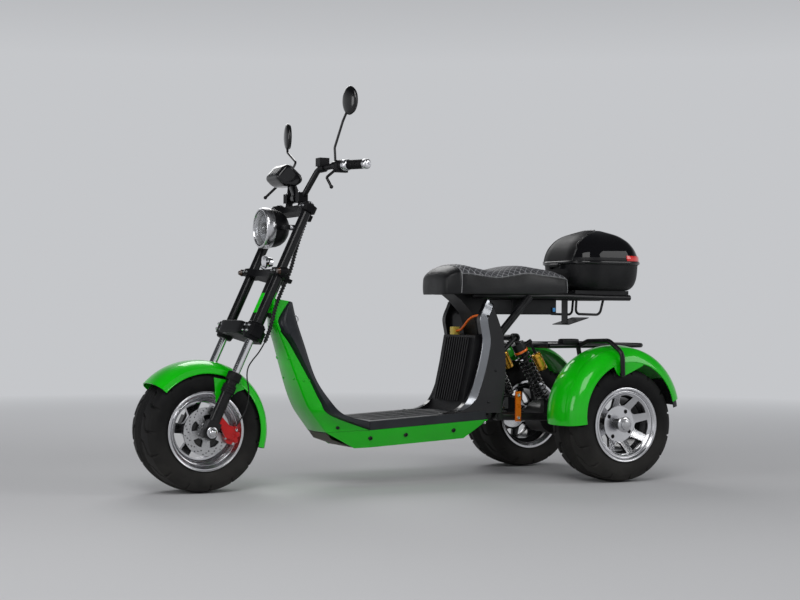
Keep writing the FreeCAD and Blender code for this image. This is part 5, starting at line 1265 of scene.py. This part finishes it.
def roundedRing(share, values, inset, count=None):
    # a rounded rectangle, its corners quarter circles; each quarter of the turn starts and ends with a straight run
    halfX, halfY = values["length"] / 2 * share - inset, values["width"] / 2 * share - inset
    radius = np.maximum(values["corner"] * share - inset, 2.0)
    turn = fullTurn(count or values["around"])
    quarter = np.floor(turn / (np.pi / 2)) * np.pi / 2
    signX, signY = np.sign(np.cos(quarter + np.pi / 4)), np.sign(np.sin(quarter + np.pi / 4))
    local = (np.mod(turn, np.pi / 2) - values["straight"]) / (np.pi / 2 - 2 * values["straight"])
    angle = quarter + np.clip(local, 0, 1) * np.pi / 2
    return signX * (halfX - radius) + radius * np.cos(angle), signY * (halfY - radius) + radius * np.sin(angle)


def levelRing(values, ring, height):
    # the ring's points at one height, in mm
    x, y = ring
    return np.stack([values["x"] + x, y, np.full(len(x), height)], -1)


def domeSkin(values, inset):
    # rings of the dome at even steps of its height curve, closed by a crowned top
    rings = []
    for up, share in np.concatenate([smoothRows(lidDome, values["rings"]), values["crown"]]):
        ring = [place * (share > 0) for place in roundedRing(share, values, min(inset, 30 * share))]
        rings.append(levelRing(values, ring, values["rim"] + (values["height"] - inset) * min(up, 1.0)))
    return np.array(rings) / 1000


def lidShell(values):
    # the outer skin, then the inner one back down, joined round the rim
    outer, inner = domeSkin(values, 0.0), domeSkin(values, values["wall"])
    grid = np.concatenate([outer, inner[::-1], outer[:1]])
    return grid.reshape(-1, 3), gridFaces(*grid.shape[:2], False, True)


# line: height and place along the case, in metres
hoop = {"line": [(0.845, -0.704), (0.869, -0.711), (0.920, -0.735), (0.950, -0.775), (0.978, -0.860)], "thick": 3.0,
        "panelFoot": 0.8645, "panelColour": (0.006, 0.006, 0.007), "panelShine": 0.56, "evening": 12, "proud": 0.0006}


def lidPanel(tree, parts):
    # a smoky gloss panel behind the hoop's line, which is a place along the case for each height
    axes = separated(tree, parts["place"])
    edge = 0.0
    for (low, start), (high, end) in zip(hoop["line"], hoop["line"][1:]):
        shift = start if low == hoop["line"][0][0] else 0.0
        edge = calculated(tree, "ADD", edge, ranged(tree, axes[2], low, high, shift, end - start + shift))
    behind = ranged(tree, calculated(tree, "SUBTRACT", axes[0], edge), -0.0005, 0.0005, 1.0, 0.0)
    above = ranged(tree, axes[2], hoop["panelFoot"] - 0.0005, hoop["panelFoot"] + 0.0005)
    panel = calculated(tree, "MULTIPLY", behind, above)
    shine = calculated(tree, "MULTIPLY", panel, hoop["panelShine"])
    parts["colour"] = mixed(tree, panel, parts["colour"], hoop["panelColour"])
    parts["rough"] = calculated(tree, "SUBTRACT", parts["rough"], shine)
    parts["height"] = calculated(tree, "MULTIPLY", parts["speck"], calculated(tree, "SUBTRACT", 1.0, panel))


addPiece("lidShell", [lidShell(caseShape)], "top_case_lid",
         finish("lidFinish", "caseMatte", lidPanel, False), replaces=("case_lid",), sharp=50.0)


def hoopPath(values):
    # where the hoop's line meets each ring of the dome, evened, up one side and down the other
    grid = domeSkin(values, -0.6)
    half = values["around"] // 2 + 1
    heights, places = zip(*hoop["line"])
    measure = grid[..., 0] - np.interp(grid[..., 2], heights, places)
    path = []
    for ring, value in zip(grid[:-2, :half], measure[:-2, :half]):
        behind = np.nonzero(value < 0)[0]
        if len(behind) and behind[0] > 0:
            last = behind[0]
            share = value[last - 1] / (value[last - 1] - value[last])
            path.append(ring[last - 1] * (1 - share) + ring[last] * share)
    path = np.array(path)
    for turn in range(hoop["evening"]):
        path[1:-1] = 0.25 * path[:-2] + 0.5 * path[1:-1] + 0.25 * path[2:]
    path[:, 2] += hoop["proud"]
    return np.concatenate([path, path[::-1] * (1, -1, 1)])


addPiece("lidHoop", [tubed(hoopPath(caseShape), hoop["thick"] / 1000, 10, (1.0, 0.0, 0.3))], "top_case_lid",
         finish("satinBlack", "glossBlack"))


# Case tub: a bowl under the rim, with its wall, hinge ears and latch base

tubShape = {"floor": 733.0, "wall": 4.0, "rings": 29}
# columns: share of the height, inset from the rim's outline in mm
tubRows = [(0.0, 60), (0.015, 47), (0.07, 34), (0.17, 22.5), (0.30, 14.5), (0.50, 8), (0.75, 4.6), (1.0, 3)]


def tubBowl(values):
    # rings of the case's outline, moved in by the table; the inner wall is the same rings moved in and up
    depth = caseShape["rim"] - values["floor"]
    table = smoothRows(tubRows, values["rings"])
    rings = []
    for wall, rows in ((0.0, table), (values["wall"], table[::-1])):
        for up, inset in rows:
            height = max(values["floor"] + up * depth, values["floor"] + wall)
            rings.append(levelRing(caseShape, roundedRing(1.0, caseShape, inset + wall), height))
    lowest, inner = (ring * (0, 0, 1) + (caseShape["x"], 0, 0) for ring in (rings[0], rings[-1]))
    grid = np.array([lowest] + rings + [inner]) / 1000
    return grid.reshape(-1, 3), gridFaces(*grid.shape[:2], False, True)


hinge = np.array([-0.690, 0.0, 0.835])
hingePin = lathed([(-44, 0), (-44, 3.4), (44, 3.4), (44, 0)], hinge, axleY, 24)
ears = [roundedBlock((-0.700, side * 0.039, 0.828), (12, 5, 8), power=0.2) for side in (1, -1)]
latchBase = roundedBlock((-1.0245, 0.0, 0.810), (12, 30, 23), power=0.15)
addPiece("tubBowl", [tubBowl(tubShape)] + ears + [latchBase, hingePin], "chassis",
         finish("caseMatte"), replaces=("case_tub",))
bandShape = {"grow": 2.0, "up": 8.0, "half": (4.2, 6.5)}


def rimBand(values):
    # an oval section carried round the lid's lower edge: path + a * cos b * outward + c * sin b * up
    height = caseShape["rim"] + values["up"]
    path = levelRing(caseShape, roundedRing(1.0, caseShape, -values["grow"]), height) / 1000
    outward = unit(path - np.array([caseShape["x"], 0.0, height]) / 1000)
    turn = fullTurn(12)
    wide, high = (half * wave / 1000 for half, wave in zip(values["half"], (np.cos(turn), np.sin(turn))))
    points = path[:, None] + wide[None, :, None] * outward[:, None] + high[None, :, None] * np.array([0.0, 0.0, 1.0])
    return points.reshape(-1, 3), gridFaces(len(path), len(turn), True, True)


clipAxes = np.array([(0.75, 0.66, 0.0), (-0.66, 0.75, 0.0), (0.0, 0.0, 1.0)])
clips = [roundedBlock((-0.727, side * 0.131, 0.846), (6, 19, 8), clipAxes * (1, side, 1), 0.25) for side in (1, -1)]
addPiece("lidBand", [rimBand(bandShape)] + clips, "top_case_lid", finish("glossBlack"))


# section: in from the lid's line and height, in mm
reflector = {"angles": (34, 75), "grow": 2.2, "around": 240,
             "section": [(0.0, 853.0), (0.4, 866.0), (3.0, 873.0), (12.0, 874.0), (12.0, 849.0), (0.8, 849.0)]}


def cornerReflector(values, side):
    # a section carried along the lid's rear corner: the ring's own line between two angles, stood proud
    x, y = roundedRing(1.0, caseShape, -values["grow"], values["around"])
    angle = np.degrees(np.arctan2(y * side, -x))
    chosen = (angle > values["angles"][0]) & (angle < values["angles"][1])
    picked = np.argsort(np.where(chosen, angle, 999))[:int(chosen.sum())]
    line = np.stack([x[picked], y[picked]], -1)
    section = np.array(values["section"])
    inward = -unit(line)[:, None] * section[None, :, :1]
    points = np.concatenate([line[:, None] + (caseShape["x"], 0.0) + inward,
                             np.broadcast_to(section[None, :, 1:], (len(line), len(section), 1))], -1)
    first, last = points[:1].mean(1, keepdims=True), points[-1:].mean(1, keepdims=True)
    grid = np.concatenate([np.repeat(first, len(section), 1), points, np.repeat(last, len(section), 1)]) / 1000
    return grid.reshape(-1, 3), gridFaces(len(grid), len(section), False, True)


addPiece("caseReflectors", [cornerReflector(reflector, side) for side in (1, -1)], "top_case_lid",
         finish("lampRed"))
addPiece("lidHinge", [lathed([(-28, 3.6), (-28, 7), (28, 7), (28, 3.6)], hinge, axleY, 32, True),
                      roundedBlock(hinge + np.array([-0.010, 0.0, 0.0052]), (10, 28, 1.8), power=0.1)],
         "top_case_lid", finish("blackPlastic"))
addPiece("caseLatch", [roundedBlock((-1.0365, 0.0, 0.806), (3.4, 22, 17), power=0.2),
                       roundedBlock((-1.0382, 0.0, 0.818), (4.2, 17, 6), power=0.3)], "chassis",
         finish("glossBlack"))
addPiece("caseKey", [lathed([(-2, 0), (-2, 6), (1.2, 6), (1.6, 5), (1.6, 0)], (-1.0406, 0.0, 0.799), -forwardX, 24)],
         "chassis", finish("silverBolt"))
print("tricycle: top case made")


# Fender beads and mud flaps

fenderBeads = {"rear": {"x": -743.0, "z": 255.0, "radius": 204.0, "y": 448.6, "from": -8.0, "to": 166.0},
               "front": {"x": 832.0, "z": 220.0, "radius": 206.5, "y": 104.6, "from": 43.0, "to": 197.0}, "thick": 2.6}


def beadPath(values, side):
    # an arc beside the wheel: centre + radius * (cos a, sin a)
    sweep = np.radians(np.linspace(values["from"], values["to"], 120))
    return np.stack([values["x"] + values["radius"] * np.cos(sweep), np.full(120, values["y"] * side),
                     values["z"] + values["radius"] * np.sin(sweep)], -1) / 1000


flapShape = {"x": -743.0, "y": 340.0, "z": 255.0, "from": 150.0, "to": 173.0}
# columns: radius, offset from the wheel's middle plane
flapSection = [(231.0, -104.0), (246.0, -84.0), (257.5, -40.0), (259.5, 0.0), (253.5, 44.0), (238.0, 82.0),
               (205.0, 104.0)]


def mudFlap(values, side):
    # the fender's section carried on behind it: centre + radius * (cos a, sin a) for each point of the section
    section = smoothRows(flapSection, 40)
    sweep = np.radians(np.linspace(values["from"], values["to"], 24))
    points = np.stack([values["x"] + section[None, :, 0] * np.cos(sweep)[:, None],
                       np.broadcast_to(side * (values["y"] + section[:, 1]), (len(sweep), len(section))),
                       values["z"] + section[None, :, 0] * np.sin(sweep)[:, None]], -1) / 1000
    return points.reshape(-1, 3), gridFaces(len(sweep), len(section))


addPiece("rearFenderBeads", [tubed(beadPath(fenderBeads["rear"], side), fenderBeads["thick"] / 1000, 8, axleY)
                             for side in (1, -1)], "chassis", finish("greenPaint"))
addPiece("frontFenderBeads", [tubed(beadPath(fenderBeads["front"], side), fenderBeads["thick"] / 1000, 8, axleY)
                              for side in (1, -1)], "steering", finish("greenPaint"))
for name, side in (("left", 1), ("right", -1)):
    addPiece(name + "MudFlap", [mudFlap(flapShape, side)], "chassis", finish("blackPlastic"),
             outFrom=(-0.743, side * 0.340, 0.255), wall=2.4)
print("tricycle: fender trim made")


# Bolts, one mesh for each row, and one for each side where the other side has its own

# columns: name, body, slot, finish, axis, head radius, head height, places, and whether the other side has its own
boltRows = [
    ("crownBolts", "steering", "chrome", "silverBolt", forkForward, 5.5, 6.0,
     [forkPlace(32, side, up) for side in (148, 112, -112, -148) for up in (381, 401)], False),
    ("clampBolts", "steering", "chrome", "silverBolt", forkForward, 4.5, 5.0,
     [forkPlace(26, side, up) for side in (120, 146, -120, -146) for up in (619, 879)], False),
    ("tubeCaps", "steering", "chrome", "silverBolt", forkUp, 13.0, 6.0,
     [forkPlace(0, side, 900) for side in (130, -130)], False),
    ("lampBolts", "steering", "chrome", "silverBolt", axleY, 7.0, 6.0,
     [lampFace + np.array([-0.052, 0.122, 0.0])], False),
    ("sillBolts", "chassis", "black_steel", "blackBolt", (0.0, 0.916, -0.40), 8.5, 4.5,
     [floorPlace(at, 157.5, -63) for at in (-183, 21, 168)], True),
    ("sillEndBolts", "chassis", "black_steel", "silverBolt", axleY, 6.0, 5.0, [floorPlace(-314, 168, -44)], False),
    ("housingBolts", "chassis", "black_steel", "blackBolt", axleY, 4.5, 3.0,
     [byRear(414, 165, 420), byRear(446, 165, 300), byRear(448, 165, 630)], True),
    ("stayBolts", "chassis", "black_steel", "blackBolt", axleY, 7.5, 5.5,
     [byRear(34, 462, 414), byRear(34, 462, 452)], True),
    ("linkBolts", "chassis", "black_steel", "silverBolt", axleY, 7.0, 5.0,
     [byRear(310, 165, 238), byRear(310, 165, 325)], False),
    ("fenderBolts", "steering", "green_paint", "blackBolt", axleY, 6.0, 4.5, [forkPlace(0, 106, 104)], False),
    ("caliperBolts", "steering", "chrome", "silverBolt", axleY, 4.5, 4.0,
     [forkPlace(-64, 128, 4), forkPlace(-90, 128, 46), forkPlace(-98, 128, -2)], False),
    ("barBolts", "steering", "chrome", "silverBolt", (0.0, 0.0, 1.0), 4.0, 4.0,
     [barPlace(back, side, 52) for side in (56, -56) for back in (-8, 18)], False),
]
for name, body, slot, kind, axis, radius, height, places, paired in boltRows:
    for ending, side in (("Left", 1), ("Right", -1)) if paired else (("", 1),):
        mirror = np.array([1, side, 1])
        heads = boltHeads(np.array(places) * mirror, np.array(axis) * mirror, radius, height)
        addPiece(name + ending, [heads], body, finish(kind))


# Small parts: caliper covers, fork rings, shield screws, pods, plug, socket
# profiles, in columns along the axis and radius in mm

coverRound = [(-1, 0), (-1, 15), (2.4, 15), (3.4, 14), (3.4, 11.5), (2.4, 10.5), (2.4, 6), (4.2, 5), (4.6, 0)]
addPiece("caliperCover", [lathed(coverRound, forkPlace(-82, 128, 20), axleY, 48)], "steering",
         finish("redAnodised"))
bossRound = [(-6, 0), (-6, 9.5), (10, 9.5), (12.5, 8), (13, 0)]
bossPlaces = [forkPlace(-103, 118, 12), forkPlace(-100, 118, 34), forkPlace(-70, 118, 44), forkPlace(-64, 118, 14)]
addPiece("caliperBosses", [repeated(lathed(bossRound, (0, 0, 0), axleY, 24), bossPlaces)], "steering",
         finish("redAnodised"))
bootRound = [(150, 20.4), (150, 24), (154, 25.4), (158, 24), (162, 25.4), (166, 24), (170, 25.4), (174, 24),
             (178, 24.4), (181, 22), (181, 20.4)]
capRound = [(196, 20.4), (196, 24.6), (199, 26.2), (222, 26.2), (226, 24.8), (228.5, 18.5), (229, 15.2), (222, 15.2)]
for name, profile in (("sliderRings", bootRound), ("dustCaps", capRound)):
    addPiece(name, [lathed(profile, forkPlace(0, side, 0), forkUp, 48, True) for side in (130, -130)], "steering",
             finish("gripRubber"))

# shield screws, each stood on the skin where it comes nearest to a place; the first pair has large painted heads
screwSize = {"wide": 7.5, "narrow": 4.0, "high": 2.8}
skinTree = BVHTree.FromObject(bpy.data.objects["shieldSkin"], bpy.context.evaluated_depsgraph_get())
screwPlaces = [(0.332, 0.120, 0.216), (0.452, 0.088, 0.392), (0.438, 0.104, 0.394), (0.492, 0.050, 0.392),
               (0.505, 0.052, 0.470), (0.500, 0.062, 0.474)]
screws = [[], []]
for index, near in enumerate(screwPlaces):
    for side in (1, -1):
        place, normal = skinTree.find_nearest(Vector(near) * Vector((1.0, side, 1.0)))[:2]
        radius = screwSize["narrow" if index else "wide"]
        screws[index == 0].append(boltHeads([place[:]], normal[:], radius, screwSize["high"]))
addPiece("shieldScrews", screws[0], "chassis", finish("greenPaint"))
addPiece("shieldBolts", screws[1], "chassis", finish("blackBolt"))
addPiece("rackPod", [roundedBlock((-0.621, 0.204, 0.531), (38, 24, 12), power=0.35)], "chassis",
         finish("blackPlastic"))
addPiece("batteryPlug", [roundedBlock(byRear(462, -67, 571), (15.5, 14.5, 16.5), power=0.2)], "chassis",
         finish("yellowPlug"))
crownBoss = [(356, 17.2), (356, 26), (359, 29), (366, 30), (370, 32), (414, 32), (418, 30), (421, 27), (421, 21.6)]
addPiece("crownBosses", [lathed(crownBoss, forkPlace(0, side, 0), forkUp, 64, True) for side in (130, -130)]
         + [roundedBlock(forkPlace(27, 0, 390), (17, 104, 25), (forkForward, axleY, forkUp), 0.3)],
         "steering", finish("crownBlack"))
addPiece("chargeSocket", [roundedBlock(byRear(106, 96.5, 655), (10, 2.6, 11), power=0.2)], "chassis",
         finish("blackPlastic"))
addPiece("socketCap", [roundedBlock(byRear(106, 99.4, 655), (6.5, 1.6, 7.5), power=0.3)], "chassis",
         finish("socketBlue"))
print("tricycle: bolts made")


# Floor and the end

def floorFinish(values):
    # a plain pale floor that fades with distance into the backdrop, for the camera and for reflections
    material, tree, shader = newMaterial("floorMaterial")
    shader.inputs["Base Color"].default_value = values["floorColour"] + (1.0,)
    shader.inputs["Roughness"].default_value = values["floorRough"]
    away, ray = newNode(tree, "VectorMath", operation="LENGTH"), newNode(tree, "LightPath")
    glow, pick = newNode(tree, "Emission"), newNode(tree, "MixShader")
    glow.inputs[0].default_value = values["backdrop"] + (1.0,)
    seen = calculated(tree, "MAXIMUM", ray.outputs["Is Camera Ray"], ray.outputs["Is Glossy Ray"])
    far = ranged(tree, away.outputs["Value"], *values["floorFade"])
    linked(tree, (newNode(tree, "TexCoord").outputs["Object"], away.inputs[0]),
           (calculated(tree, "MULTIPLY", far, seen), pick.inputs[0]),
           (shader.outputs[0], pick.inputs[1]), (glow.outputs[0], pick.inputs[2]),
           (pick.outputs[0], tree.nodes["Material Output"].inputs["Surface"]))
    return material


bpy.ops.mesh.primitive_plane_add(size=studio["floorSize"])
floor = bpy.context.object
floor.name = "studioFloor"
floor.data.materials.append(floorFinish(studio))
